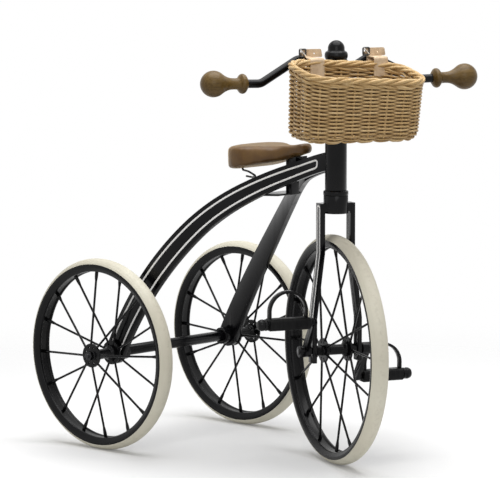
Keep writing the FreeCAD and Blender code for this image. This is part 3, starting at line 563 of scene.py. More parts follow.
laced = feed(lacing, "GeometryNodeRotateInstances", laced,
             Rotation=vector_of(lacing, 0.0, round_hub, 0.0), Local_Space=False)
end_tree(lacing, laced, wheel_black)

turned_by = {"rear_wheel_right": -4.0, "rear_wheel_left": 1.0, "front_wheel": -1.5}
for wheel in wheels:
    tip_radius = wheel["outside"] - tyre_rise - rim_deep + 2.4 * mm
    mesh = grown(wheel["spokes"], lacing, {
        **spoke_sizes, "Tip Radius": tip_radius, "Flange Out": wheel["flange_out"],
        "Turned": math.radians(turned_by[wheel["body"]]), "First Side": wheel["first_side"]})
    mesh.transform(wheel["place"])
    laced = placed(wheel["spokes"] + "_laced", mesh, wheel["body"], None, 50.0)
    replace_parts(laced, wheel["spokes"])


# ---- hubs ------------------------------------------------------------------------------------
# A hub is a turned barrel with two pressed flanges. Each flange is drilled with a ring of round
# holes between the barrel and the spokes.

flange_sizes = {"Radius": 19 * mm, "Thickness": 3 * mm, "Flange Out": 22 * mm, "Holes": 8,
                "Hole Ring": 13.2 * mm, "Hole Radius": 1.8 * mm}
drilling, size = size_tree("drilled_flanges", flange_sizes)
disc = feed(drilling, "GeometryNodeMeshCylinder", 72, Radius=size["Radius"],
            Depth=size["Thickness"])
drill = feed(drilling, "GeometryNodeMeshCylinder", 18, Radius=size["Hole Radius"],
             Depth=arithmetic(drilling, "MULTIPLY", size["Thickness"], 3.0))
ring = feed(drilling, "GeometryNodeMeshCircle", size["Holes"], size["Hole Ring"])
drills = feed(drilling, "GeometryNodeRealizeInstances",
              feed(drilling, "GeometryNodeInstanceOnPoints", ring, Instance=drill))
flange = feed(drilling, "GeometryNodeMeshBoolean", disc, drills, operation="DIFFERENCE",
              solver="EXACT")
flange = feed(drilling, "GeometryNodeTransform", flange,
              Rotation=(math.pi / 2, math.pi / 8, 0.0))
pair = feed(drilling, "GeometryNodeMeshLine", 2, Start_Location=vector_of(
    drilling, 0.0, arithmetic(drilling, "MULTIPLY", size["Flange Out"], -1.0), 0.0),
    Offset=vector_of(drilling, 0.0, arithmetic(drilling, "MULTIPLY", size["Flange Out"], 2.0),
                     0.0))
end_tree(drilling, feed(drilling, "GeometryNodeInstanceOnPoints", pair, Instance=flange),
         wheel_black)

bore, neck, swell = 5.0 * mm, 8 * mm, 11.5 * mm
for wheel in wheels:
    flange_out = wheel["flange_out"]
    mesh = grown(wheel["hub"], drilling, {**flange_sizes, "Flange Out": flange_out})
    mesh.transform(wheel["place"])
    flanges = placed(wheel["hub"] + "_flanges", mesh, wheel["body"], None, 30.0)
    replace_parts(flanges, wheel["hub"])
    half = wheel["hub_half"]
    side = [(half, bore), (half, neck), (flange_out + 2.4 * mm, neck),
            (flange_out + 1.4 * mm, 9.4 * mm), (flange_out - 1.4 * mm, swell),
            (flange_out - 6 * mm, swell), (flange_out - 9 * mm, neck)]
    profile = side + [(-y, radius) for y, radius in reversed(side)]
    mesh = turned(wheel["hub"], softened(profile, 0.7 * mm), 40)
    mesh.transform(wheel["place"])
    barrel = placed(wheel["hub"] + "_barrel", mesh, wheel["body"], wheel_black, 40.0)
    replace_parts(barrel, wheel["hub"])


# ---- fork ------------------------------------------------------------------------------------
# The fork is a flat crown with a leg of flat bar on each side. The legs stand straight, kick out
# past the tyre and end in plates on the front axle; each has its own coach line outside.

fork_black = enamel("fork_black", (0.0014, 0.0014, 0.0018), (0.0045, 0.0045, 0.0055), 0.12)
for node in ("fork_crown", "fork_leg_left", "fork_leg_right"):
    eased(node, 0.9 * mm, fork_black)
coat("steerer", fork_black)
across_fork = Vector(joints["front_wheel_spin"]["axis"])
work = bmesh.new()
for side, node in ((-1, "fork_leg_right"), (1, "fork_leg_left")):
    coach_line(work, node, across_fork * side, 4.0 * mm, 2.8 * mm, lowest=0.200)
placed("fork_lines", mesh_of("fork_lines", work), "steering", line_paint, None)


# ---- cranks and pedals -----------------------------------------------------------------------
# Flat forged cranks are fixed on the front axle. Each pedal is a black rubber block moulded
# round a tube, with a dust cap on its end and a bent steel band over it for the toe.

for node in ("crank_left", "crank_right"):
    eased(node, 1.2 * mm, fork_black, steps=3)
for node in ("crank_axle", "pedal_spindle_left", "pedal_spindle_right"):
    eased(node, 0.5 * mm, fork_black)

fork_turn = math.atan2(-across_fork.x, across_fork.y)
rubber, tree, shader, here = finish("pedal_rubber", 0.42, specular=0.12)
along_pedal = feed(tree, "ShaderNodeMapping", here, Rotation=(0.0, 0.0, -fork_turn))
pores = noise(tree, here, 900.0, 3.0)
scuffs = noise(tree, along_pedal, 60.0, 4.0, 0.6, stretch=(1.0, 6.0, 1.0))
dress(tree, shader, blend_of(tree, scuffs, (0.40, (0.002, 0.002, 0.0023)),
                             (0.75, (0.009, 0.009, 0.009))),
      (scuffs, 0.35, 0.7, 0.30, 0.55), (pores, 0.3, 0.2 * mm))
for node in ("pedal_left", "pedal_right"):
    eased(node, 1.4 * mm, rubber, steps=3)

cap_black = enamel("cap_black", (0.0016, 0.0016, 0.0019), (0.005, 0.005, 0.0055), 0.2)
cap_half, cap_wide, groove = 7.75 * mm, 9.0 * mm, 8.1 * mm
for side in ("left", "right"):
    place = place_of(f"pedal_{side}_spin")
    out = -1.0 if side == "right" else 1.0
    low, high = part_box("pedal_cap_" + side)
    middle = (place.inverted() @ ((low + high) / 2)).y * out
    start, end = middle - cap_half, middle + cap_half
    dome = softened([(start, 0.0), (start, cap_wide), (start + 3.0 * mm, cap_wide),
                     (start + 3.8 * mm, groove), (start + 5.0 * mm, groove),
                     (start + 5.8 * mm, cap_wide), (end - 5.6 * mm, cap_wide),
                     (end - 0.8 * mm, 6.4 * mm), (end, 0.0)], 2.2 * mm, loop=False, steps=4)
    mesh = turned("cap", [(y * out, radius) for y, radius in dome], 40, loop=False)
    mesh.transform(place)
    cap = placed(f"pedal_cap_{side}_domed", mesh, f"pedal_{side}", cap_black, 40.0)
    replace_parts(cap, "pedal_cap_" + side)
    eased(f"toe_hoop_{side}", 0.6 * mm, cap_black)


# ---- stem and handlebar ----------------------------------------------------------------------
# The steerer carries a lock nut, a straight stem and a domed cap. The handlebar is one bent
# tube through the stem head, raised beside the basket and level where the grips go on.

for node in ("lock_nut", "stem"):
    eased(node, 0.8 * mm, fork_black)
coat("handlebar", fork_black)
low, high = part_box("stem_cap")
centre, base_half = (low + high) / 2, (high.x - low.x) / 2
dome = 13.0 * mm
profile = [(0.0, 0.0), (0.0, base_half - 1.6 * mm)]
for step in range(9):
    angle = math.radians(-60 + 150 * step / 8)
    profile.append((6.6 * mm + 6.4 * mm * math.sin(angle),
                    base_half - 3.4 * mm + 3.4 * mm * math.cos(angle)))
profile += [(13.9 * mm, dome + 0.6 * mm), (14.6 * mm, dome)]
dome_foot = high.z - low.z - dome
for step in range(1, 13):
    angle = math.pi / 2 * step / 12
    profile.append((dome_foot + dome * math.sin(angle), dome * math.cos(angle)))
profile[-1] = (high.z - low.z, 0.0)
mesh = turned("stem_cap", profile, 56, loop=False)
mesh.transform(Matrix.Translation((centre.x, centre.y, low.z))
               @ Matrix.Rotation(math.pi / 2, 4, "X"))
cap = placed("stem_cap_domed", mesh, "steering", cap_black, 40.0)
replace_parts(cap, "stem_cap")


# ---- grips -----------------------------------------------------------------------------------
# Turned hardwood knobs, stained mid brown and lacquered: a ring against the bar's bend, a waist
# for the fingers and a ball to finish. The grain runs along the bar.

stained, tree, shader, here = finish("stained_beech", 0.36, specular=0.18)
along_grip = feed(tree, "ShaderNodeMapping", here, Rotation=(0.0, 0.0, -fork_turn))
fibres = noise(tree, along_grip, 520.0, 5.0, 0.62, stretch=(1.0, 0.07, 1.0))
bands = noise(tree, along_grip, 70.0, 3.0, 0.5, stretch=(1.0, 0.12, 1.0), Distortion=0.6)
figure = arithmetic(tree, "ADD", arithmetic(tree, "MULTIPLY", fibres, 0.45),
                    arithmetic(tree, "MULTIPLY", bands, 0.55))
dress(tree, shader, blend_of(tree, figure, (0.34, (0.062, 0.034, 0.008)),
                             (0.5, (0.108, 0.064, 0.017)), (0.66, (0.165, 0.102, 0.032))),
      (fibres, 0.3, 0.7, 0.30, 0.48), (fibres, 0.25, 0.2 * mm))
shader.inputs["Coat Weight"].default_value = 0.1
shader.inputs["Coat Roughness"].default_value = 0.25

steer = Matrix.Translation((*joints["steering"]["pos_m"][:2], 0.0)) @ Matrix.Rotation(
    fork_turn, 4, "Z")
knee, bar_end = Vector((15.0, 131.0, 595.0)) * mm, Vector((17.6, 212.0, 597.0)) * mm
grip_foot = 154.0 * mm
collar, collar_long, neck, ball, ball_out = 15.2 * mm, 14.6 * mm, 8.9 * mm, 20.2 * mm, 54.8 * mm
profile = [(0.0, 0.0), (0.0, neck)]
for step in range(1, 10):
    t = step / 10
    profile.append((collar_long * (0.12 + 0.76 * (0.5 - 0.5 * math.cos(math.pi * t))),
                    neck + (collar - neck) * math.sin(math.pi * t) ** 0.9))
profile += [(collar_long, neck + 0.5 * mm), (collar_long + 1.5 * mm, neck - 0.2 * mm),
            (21 * mm, neck - 0.4 * mm), (26 * mm, neck - 0.1 * mm)]
leave = math.radians(52)
join = (ball_out - ball * math.cos(leave), ball * math.sin(leave))
for step in range(1, 6):
    t = step / 6
    a, b = Vector((26 * mm, neck - 0.1 * mm)), Vector(join)
    bend = Vector((join[0] - 9.0 * mm, neck + 0.6 * mm))
    profile.append(tuple(a * (1 - t) ** 2 + bend * 2 * t * (1 - t) + b * t * t))
for step in range(17):
    angle = leave + (math.pi - leave) * step / 16
    profile.append((ball_out - ball * math.cos(angle), ball * math.sin(angle)))
profile[-1] = (ball_out + ball, 0.0)
for side, name in ((-1, "grip_right"), (1, "grip_left")):
    start = Vector((knee.x, knee.y * side, knee.z))
    end = Vector((bar_end.x, bar_end.y * side, bar_end.z))
    along = (end - start).normalized()
    begin = start + along * (grip_foot - knee.y)
    aim = along.to_track_quat("Y", "Z").to_matrix().to_4x4()
    mesh = turned("grip", profile, 56, loop=False)
    mesh.transform(steer @ Matrix.Translation(begin) @ aim)
    knob = placed(name + "_turned", mesh, "steering", stained, 50.0)
    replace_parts(knob, name)


# ---- saddle ----------------------------------------------------------------------------------
# A child's saddle: a foam block under a tight brown leathercloth cover, narrow at the nose and
# broad behind. The cover is drawn down over a flat base plate and swells a little between.

leathercloth, tree, shader, here = finish("brown_leathercloth", 0.40, specular=0.35)
grain = feed(tree, "ShaderNodeTexVoronoi", here, 620.0, 1.0, feature="SMOOTH_F1")
pull = noise(tree, here, 45.0, 4.0, 0.6)
dress(tree, shader, blend_of(tree, pull, (0.34, (0.082, 0.037, 0.0070)),
                             (0.68, (0.132, 0.067, 0.0160))),
      (pull, 0.3, 0.7, 0.34, 0.50), (grain, 0.35, 0.3 * mm))
shader.inputs["Sheen Weight"].default_value = 0.9
shader.inputs["Sheen Roughness"].default_value = 0.3
shader.inputs["Sheen Tint"].default_value = (0.88, 0.64, 0.34, 1.0)

foam_grid, cover_swell, staple_inset = 4.5 * mm, 3.2 * mm, 14 * mm
long_scale, wide_scale, deep_scale = 0.992, 0.955, 1.04
blank = set_out("saddle_blank", nodes["seat"].data.copy())
weld = blank.modifiers.new("weld", "WELD")
weld.merge_threshold = 1e-6
voxels = blank.modifiers.new("foam", "REMESH")
voxels.mode, voxels.voxel_size = "VOXEL", foam_grid
pad = plain_mesh(blank)
bpy.data.objects.remove(blank)
low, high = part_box("seat")
centre = (low + high) / 2
for vertex in pad.vertices:
    vertex.co.x = centre.x + (vertex.co.x - centre.x) * long_scale
    vertex.co.y = centre.y + (vertex.co.y - centre.y) * wide_scale
    vertex.co.z = high.z - (high.z - vertex.co.z) * deep_scale
under = [vertex for vertex in pad.vertices if vertex.normal.z < -0.75]
sides = [vertex for vertex in pad.vertices if abs(vertex.normal.z) < 0.5]
near_side = KDTree(len(sides))
for vertex in sides:
    near_side.insert((vertex.co.x, vertex.co.y, 0.0), vertex.index)
near_side.balance()
slack = set_out("saddle_slack", pad)
stapled = slack.vertex_groups.new(name="stapled")
stapled.add([vertex.index for vertex in under
             if near_side.find((vertex.co.x, vertex.co.y, 0.0))[2] > staple_inset], 1.0, "ADD")
before = [vertex.co.copy() for vertex in pad.vertices]
swell = slack.modifiers.new("swell", "CLOTH")
for setting, value in {
        "quality": 6, "mass": 0.15, "tension_stiffness": 8.0, "compression_stiffness": 8.0,
        "shear_stiffness": 4.0, "bending_stiffness": 0.6, "vertex_group_mass": "stapled",
        "use_pressure": True, "uniform_pressure_force": 3.0}.items():
    setattr(swell.settings, setting, value)
swell.settings.effector_weights.gravity = 0.0
scene, settled = bpy.context.scene, 20
scene.frame_start, scene.frame_end = 1, settled
swell.point_cache.frame_start, swell.point_cache.frame_end = 1, settled
for number in range(1, settled + 1):
    scene.frame_set(number)
puffed = plain_mesh(slack)
scene.frame_set(1)
for vertex, home in zip(puffed.vertices, before):
    moved = vertex.co - home
    if moved.length > cover_swell:
        vertex.co = home + moved.normalized() * cover_swell
pad = puffed
bpy.data.objects.remove(slack)
cover = set_out("saddle_cover", pad)
cover.modifiers.new("relax", "SMOOTH").iterations = 2
fine = cover.modifiers.new("fine", "SUBSURF")
fine.levels = fine.render_levels = 1
pad = plain_mesh(cover)
bpy.data.objects.remove(cover)
saddle = placed("saddle", pad, "frame", leathercloth, None)
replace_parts(saddle, "seat")


# ---- basket ----------------------------------------------------------------------------------
# A tray of split willow: twenty upright stakes, and round them some thirty rows of single
# weavers that pass outside one stake and inside the next. The sides round under to a woven base.
# Where a weaver lies back behind a stake, its colour is darkened as painted shade.

strands, tree, shader, here = finish("willow", 0.40, specular=0.35)
tone = feed(tree, "ShaderNodeAttribute", attribute_name="tone", out="Fac")
along = feed(tree, "ShaderNodeAttribute", attribute_name="along", out="Fac")
proud = feed(tree, "ShaderNodeAttribute", attribute_name="proud", out="Fac")
streaks = noise(tree, here, 500.0, 4.0, 0.65, stretch=(0.5, 0.5, 3.0))
mottle = noise(tree, vector_of(tree, along, tone, 0.0), 40.0, 3.0)
shade = arithmetic(tree, "ADD", arithmetic(tree, "MULTIPLY", tone, 0.6),
                   arithmetic(tree, "MULTIPLY", mottle, 0.4))
skin_of = blend_of(tree, shade, (0.22, (0.33, 0.195, 0.072)), (0.5, (0.54, 0.355, 0.150)),
                   (0.8, (0.74, 0.54, 0.28)))
# Painted shade: where proud is low the willow colour is mixed towards a dark brown. This happens on
# weaver sides that lie back behind a stake, and slightly on rope strands tucked between their
# neighbours.
skin_of = feed(tree, "ShaderNodeMix", data_type="RGBA", Factor=feed(
    tree, "ShaderNodeMapRange", proud, -0.9, 0.5, 0.0, 1.0), A=(0.10, 0.048, 0.015, 1.0), B=skin_of)
skin_of = feed(tree, "ShaderNodeMix", data_type="RGBA", Factor=feed(
    tree, "ShaderNodeMapRange", streaks, 0.45, 0.72, 0.0, 0.45), A=skin_of,
    B=(0.24, 0.135, 0.05, 1.0))
dress(tree, shader, skin_of, (streaks, 0.3, 0.7, 0.34, 0.55), (streaks, 0.35, 0.3 * mm))

stakes, weavers, around = 20, 33, 8 * 20
back_x, deep, wide, corner = 25.0 * mm, 128.0 * mm, 200.0 * mm, 42.0 * mm
wall_inset, wall_lean = 3.6 * mm, 6.0 * mm
heel = 12.0 * mm
foot_y, rim_y = -12.0 * mm, -2.0 * mm
base_up, base_slope = 518.5 * mm, math.tan(math.radians(2.0))
rim_up, rim_slope, rim_tilt = 629.0 * mm, math.tan(math.radians(9.3)), math.tan(math.radians(2.8))
z_low, z_high = 496.5 * mm, 649.0 * mm


def loop_point(share, inset, middle_y):
    """A point on the basket's rounded rectangle, and the way it faces."""
    x0, x1 = back_x + inset, back_x + deep - inset
    y0, y1 = middle_y - wide / 2 + inset, middle_y + wide / 2 - inset
    radius = max(corner - inset, 0.5 * mm)
    runs = [("line", (x0, middle_y), (x0, y0 + radius)),
            ("arc", (x0 + radius, y0 + radius), 180),
            ("line", (x0 + radius, y0), (x1 - radius, y0)),
            ("arc", (x1 - radius, y0 + radius), 270),
            ("line", (x1, y0 + radius), (x1, y1 - radius)),
            ("arc", (x1 - radius, y1 - radius), 0),
            ("line", (x1 - radius, y1), (x0 + radius, y1)),
            ("arc", (x0 + radius, y1 - radius), 90),
            ("line", (x0, y1 - radius), (x0, middle_y))]
    lengths = [math.dist(run[1], run[2]) if run[0] == "line" else radius * math.pi / 2
               for run in runs]
    travel = (share % 1.0) * sum(lengths)
    for run, length in zip(runs, lengths):
        if travel <= length:
            break
        travel -= length
    if run[0] == "line":
        a, b = Vector(run[1]), Vector(run[2])
        way = (b - a).normalized()
        return a + way * travel, Vector((way.y, -way.x))
    angle = math.radians(run[2]) + travel / radius
    out = Vector((math.cos(angle), math.sin(angle)))
    return Vector(run[1]) + out * radius, out


def wall_point(share, up, below_rim=0.0):
    """A point in the middle of the wicker, up from the heel of the wall to the rim."""
    low, facing = loop_point(share, wall_lean + wall_inset, foot_y)
    high = loop_point(share, wall_inset, rim_y)[0]

    def at(t):
        return Vector((*low.lerp(high, t), z_low + (z_high - z_low) * t))

    def crossing(plane):
        a, b = at(0.0), at(1.0)
        return (plane(a) - a.z) / ((b.z - a.z) - (plane(b) - plane(a)))

    base = crossing(lambda p: base_up - base_slope * (p.x - back_x))
    rim = crossing(lambda p: rim_up - below_rim - rim_slope * (p.x - back_x) - rim_tilt * p.y)
    height = (rim - base) * (z_high - z_low)
    travel = up * (height - heel + heel * math.pi / 2)
    out = Vector((*facing, 0.0))
    if travel < heel * math.pi / 2:
        angle = travel / heel
        inset, rise = heel * (1 - math.sin(angle)), heel * (1 - math.cos(angle))
        out = (out * math.sin(angle) + Vector((0, 0, -1)) * math.cos(angle)).normalized()
    else:
        inset, rise = 0.0, heel + travel - heel * math.pi / 2
    point = at(base + rise / (z_high - z_low))
    point -= Vector((*facing, 0.0)) * inset
    return point, out


def strand_mesh(name, chains, closed=True):
    """Chains of points as bare edges, with each point's row, turn and outward direction."""
    mesh = bpy.data.meshes.new(name)
    points = [point for chain in chains for point in chain]
    edges, first = [], 0
    for chain in chains:
        count = len(chain)
        edges += [(first + i, first + i + 1) for i in range(count - 1)]
        if closed:
            edges.append((first + count - 1, first))
        first += count
    mesh.from_pydata([point[0] for point in points], edges, [])
    for label, kind, column in (("row", "FLOAT", 2), ("turn", "FLOAT", 3)):
        mesh.attributes.new(label, kind, "POINT").data.foreach_set(
            "value", [point[column] for point in points])
    mesh.attributes.new("out", "FLOAT_VECTOR", "POINT").data.foreach_set(
        "vector", [value for point in points for value in point[1]])
    return mesh


def known(tree, label, data_type="FLOAT"):
    """What a strand's points were given under this name."""
    return feed(tree, "GeometryNodeInputNamedAttribute", label, data_type=data_type)


def marked(tree, shape, label, value):
    """The same shape, with a value stored on its points."""
    return feed(tree, "GeometryNodeStoreNamedAttribute", shape, Name=label, Value=value,
                data_type="FLOAT", domain="POINT")


weave_sizes = {"Stakes": 20.0, "Swing": 2.4 * mm, "Sharpness": 1.4, "Strand Height": 3.3 * mm,
               "Strand Thickness": 2.8 * mm, "Seed": 4}
weaving, size = size_tree("randing", weave_sizes)
row, turn_share = known(weaving, "row"), known(weaving, "turn")
outward = known(weaving, "out", "FLOAT_VECTOR")
phase = arithmetic(weaving, "MULTIPLY", math.pi, arithmetic(
    weaving, "ADD", arithmetic(weaving, "MULTIPLY", turn_share, size["Stakes"]), row))
wave = arithmetic(weaving, "TANH", arithmetic(weaving, "MULTIPLY", arithmetic(
    weaving, "COSINE", phase), size["Sharpness"]))
jitter = feed(weaving, "ShaderNodeTexNoise", vector_of(
    weaving, arithmetic(weaving, "MULTIPLY", turn_share, 60.0),
    arithmetic(weaving, "MULTIPLY", row, 3.7), 0.0), 1.0, 2.0)
wander = arithmetic(weaving, "MULTIPLY", arithmetic(weaving, "SUBTRACT", jitter, 0.5), 1.6 * mm)
swing = feed(weaving, "ShaderNodeVectorMath", outward, operation="SCALE", Scale=arithmetic(
    weaving, "MULTIPLY", wave, size["Swing"]))
swing = feed(weaving, "ShaderNodeVectorMath", swing, vector_of(weaving, 0.0, 0.0, wander),
             operation="ADD")
woven = feed(weaving, "GeometryNodeSetPosition", size["Geometry"], Offset=swing)
per_row = feed(weaving, "FunctionNodeRandomValue", ID=row, Seed=size["Seed"])
length_tone = feed(weaving, "ShaderNodeTexNoise", vector_of(
    weaving, arithmetic(weaving, "MULTIPLY", turn_share, 5.0),
    arithmetic(weaving, "MULTIPLY", row, 5.3), 2.0), 1.0, 1.0)
tone_value = arithmetic(weaving, "ADD", arithmetic(weaving, "MULTIPLY", per_row, 0.45),
                        arithmetic(weaving, "MULTIPLY", length_tone, 0.62))
woven = marked(weaving, woven, "tone", tone_value)
woven = marked(weaving, woven, "wave", wave)
woven = marked(weaving, woven, "along", arithmetic(weaving, "MULTIPLY", turn_share, 0.6))
lines = feed(weaving, "GeometryNodeSetCurveNormal", feed(weaving, "GeometryNodeMeshToCurve", woven),
             mode="Z_UP")
section = feed(weaving, "GeometryNodeTransform",
               feed(weaving, "GeometryNodeCurvePrimitiveCircle", 8, Radius=0.5),
               Scale=vector_of(weaving, size["Strand Thickness"], size["Strand Height"], 1.0))
skins = feed(weaving, "GeometryNodeCurveToMesh", lines, section, Fill_Caps=True)
# Painted shade key: proud is how far each side of a weaver stands out on its own face of the wall.
# It is low on the side that lies back behind a stake, and the willow colour paints low values dark
# brown.
facing = feed(weaving, "ShaderNodeVectorMath", feed(weaving, "GeometryNodeInputNormal"),
              known(weaving, "out", "FLOAT_VECTOR"), operation="DOT_PRODUCT", out="Value")
facing = feed(weaving, "ShaderNodeMapRange", facing, -0.4, 0.4, -1.0, 1.0)
proud = arithmetic(weaving, "MULTIPLY", facing, known(weaving, "wave"))
end_tree(weaving, marked(weaving, skins, "proud", proud), strands)

chains = []
for number in range(weavers):
    up = (number + 0.6) / weavers
    chains.append([(*wall_point(step / around, up, 14.0 * mm), float(number), step / around)
                   for step in range(around)])
mesh = grown("basket_weave", weaving, weave_sizes, strand_mesh("weavers", chains))
mesh.transform(steer)
weave = placed("basket_weave", mesh, "steering", None, None)
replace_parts(weave, "basket")

chains = []
for number in range(10):
    chain = []
    for step in range(around):
        spot = loop_point(step / around, wall_lean + wall_inset + heel + number * 4.3 * mm,
                          foot_y)[0]
        z = base_up - base_slope * (spot.x - back_x)
        chain.append((Vector((spot.x, spot.y, z)), Vector((0, 0, -1)), float(number),
                      step / around))
    chains.append(chain)
mesh = grown("basket_base", weaving, {**weave_sizes, "Swing": 1.0 * mm, "Strand Height": 2.2 * mm,
             "Strand Thickness": 4.6 * mm, "Seed": 9}, strand_mesh("base", chains))
mesh.transform(steer)
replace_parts(placed("basket_base", mesh, "steering", None, None), "basket")

stake_sizes = {"Stake Radius": 1.7 * mm, "Seed": 21}
staking, size = size_tree("stakes", stake_sizes)
upright = marked(staking, size["Geometry"], "tone", feed(
    staking, "FunctionNodeRandomValue", ID=known(staking, "row"), Seed=size["Seed"]))
# The stakes take a proud value that gets no painted shade in the willow colour.
upright = marked(staking, upright, "proud", 0.5)
end_tree(staking, feed(staking, "GeometryNodeCurveToMesh",
                       feed(staking, "GeometryNodeMeshToCurve", upright),
                       feed(staking, "GeometryNodeCurvePrimitiveCircle", 8,
                            Radius=size["Stake Radius"]), Fill_Caps=True), strands)
chains = []
for number in range(stakes):
    chains.append([(*wall_point(number / stakes, step / 16, 8.0 * mm), float(number), 0.0)
                   for step in range(17)])
mesh = grown("basket_stakes", staking, stake_sizes, strand_mesh("stakes", chains, closed=False))
mesh.transform(steer)
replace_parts(placed("basket_stakes", mesh, "steering", None, None), "basket")


# ---- basket rim ------------------------------------------------------------------------------
# The stakes are bent over and laid in a rolled border, like a slow rope of four strands, with a
# band of paired weavers under it that locks the top row.

rope_sizes = {"Strands": 4.0, "Twists": 6.0, "Rope Radius": 3.2 * mm, "Strand Radius": 2.6 * mm,
              "Flatten": 1.0, "Seed": 3}
roping, size = size_tree("border", rope_sizes)
row, turn_share = known(roping, "row"), known(roping, "turn")
outward = known(roping, "out", "FLOAT_VECTOR")
angle = arithmetic(roping, "MULTIPLY", 2 * math.pi, arithmetic(
    roping, "ADD", arithmetic(roping, "MULTIPLY", turn_share, size["Twists"]),
    arithmetic(roping, "DIVIDE", row, size["Strands"])))
sideways = feed(roping, "ShaderNodeVectorMath", outward, operation="SCALE", Scale=arithmetic(
    roping, "MULTIPLY", arithmetic(roping, "COSINE", angle), size["Rope Radius"]))
rise = arithmetic(roping, "MULTIPLY", arithmetic(roping, "SINE", angle), arithmetic(
    roping, "MULTIPLY", size["Rope Radius"], size["Flatten"]))
loose = feed(roping, "ShaderNodeTexNoise", vector_of(
    roping, arithmetic(roping, "MULTIPLY", turn_share, 26.0), row, size["Seed"]), 1.0, 2.0)
rise = arithmetic(roping, "ADD", rise, arithmetic(
    roping, "MULTIPLY", arithmetic(roping, "SUBTRACT", loose, 0.5), 4.0 * mm))
offset = feed(roping, "ShaderNodeVectorMath", sideways, vector_of(roping, 0.0, 0.0, rise),
              operation="ADD")
twisted = feed(roping, "GeometryNodeSetPosition", size["Geometry"], Offset=offset)
tone_value = feed(roping, "ShaderNodeTexNoise", vector_of(
    roping, arithmetic(roping, "MULTIPLY", turn_share, 9.0),
    arithmetic(roping, "MULTIPLY", row, 7.1), arithmetic(roping, "MULTIPLY", size["Seed"], 1.0)),
    1.0, 1.0)
tone_value = feed(roping, "ShaderNodeMapRange", tone_value, 0.3, 0.7, 0.25, 0.95)
twisted = marked(roping, twisted, "tone", tone_value)
# Painted shade: a rope strand's proud value drops to 0.45 along the top and bottom of the rope,
# where it tucks between its neighbours. That darkens its colour slightly; it keeps full colour at
# the outer and inner sides.
tucked_strand_shade = feed(roping, "ShaderNodeMapRange", arithmetic(
    roping, "COSINE", arithmetic(roping, "MULTIPLY", angle, 2.0)), -1.0, 0.2, 0.45, 1.0)
twisted = marked(roping, twisted, "proud", tucked_strand_shade)
twisted = marked(roping, twisted, "along", arithmetic(roping, "MULTIPLY", turn_share, 0.6))
end_tree(roping, feed(roping, "GeometryNodeCurveToMesh",
                      feed(roping, "GeometryNodeMeshToCurve", twisted),
                      feed(roping, "GeometryNodeCurvePrimitiveCircle", 10,
                           Radius=size["Strand Radius"]), Fill_Caps=True), strands)
rope_steps = 240
for name, count, below, sizes in (
        ("basket_rim", 4, 5.6 * mm, {}),
        ("basket_band", 2, 13.2 * mm, {"Strands": 2.0, "Twists": -10.0, "Rope Radius": 2.6 * mm,
                                       "Strand Radius": 2.0 * mm, "Flatten": 0.5, "Seed": 5})):
    chains = [[(*wall_point(step / rope_steps, 1.0, below), float(number), step / rope_steps)
               for step in range(rope_steps)] for number in range(count)]
    mesh = grown(name, roping, {**rope_sizes, **sizes}, strand_mesh(name, chains))
    mesh.transform(steer)
    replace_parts(placed(name, mesh, "steering", None, None), "basket")


# ---- straps ----------------------------------------------------------------------------------
# Two natural tan leather straps hang the basket from the bar. Each goes round the bar, over the
# back rim and down inside, and buckles on itself with its punched end standing up.

tan, tree, shader, here = finish("tan_leather", 0.55, specular=0.35)
pores = feed(tree, "ShaderNodeTexVoronoi", here, 900.0, 1.0)
clouds = noise(tree, here, 60.0, 4.0, 0.6)
dress(tree, shader, blend_of(tree, clouds, (0.36, (0.52, 0.375, 0.235)),
                             (0.66, (0.70, 0.545, 0.375))),
      (clouds, 0.3, 0.7, 0.45, 0.65), (pores, 0.4, 0.2 * mm))

strap_middles = {"right": -45.5 * mm, "left": 60.0 * mm}
leather, strap_half = 2.2 * mm, 11.5 * mm
bar_slope = (632.0 - 611.0) / (58.0 - 20.0)
bar_radius, rim_top = 6.5 * mm, 631.4 * mm
inside_x, buckle_x, strap_foot = 33.4 * mm, 23.4 * mm, 603.0 * mm


def ribbon(name, path, half, thick, lift):
    """A strap of leather along points in the (forward, up) plane, with rounded edges."""
    work = bmesh.new()
    rows = []
    across = [-1.0, -0.93, -0.5, 0.0, 0.5, 0.93, 1.0]
    for index, point in enumerate(path):
        before, after = path[max(index - 1, 0)], path[min(index + 1, len(path) - 1)]
        way = (after - before).normalized()
        normal = Vector((-way.y, way.x))
        ring = []
        for side in (1, -1):
            for place in across[::side]:
                edge = 0.55 if abs(place) == 1.0 else 1.0
                spot = point + normal * side * thick / 2 * edge
                y = place * half
                ring.append(work.verts.new((spot.x, y, spot.y + lift(point, y))))
        rows.append(ring)
    for ring, after in zip(rows, rows[1:]):
        for index in range(len(ring)):
            ahead = (index + 1) % len(ring)
            work.faces.new((ring[index], ring[ahead], after[ahead], after[index]))
    for ring in (rows[0], rows[-1]):
        work.faces.new(ring)
    bmesh.ops.recalc_face_normals(work, faces=work.faces)
    return mesh_of(name, work)


def rounded_path(corners, ease, step=1.5 * mm):
    """Points along a line whose corners are turned to arcs."""
    points = softened([tuple(corner) for corner in corners], ease, loop=False, steps=6)
    path = [Vector(points[0])]
    for point in points[1:]:
        if (Vector(point) - path[-1]).length > step * 0.5:
            path.append(Vector(point))
    return path


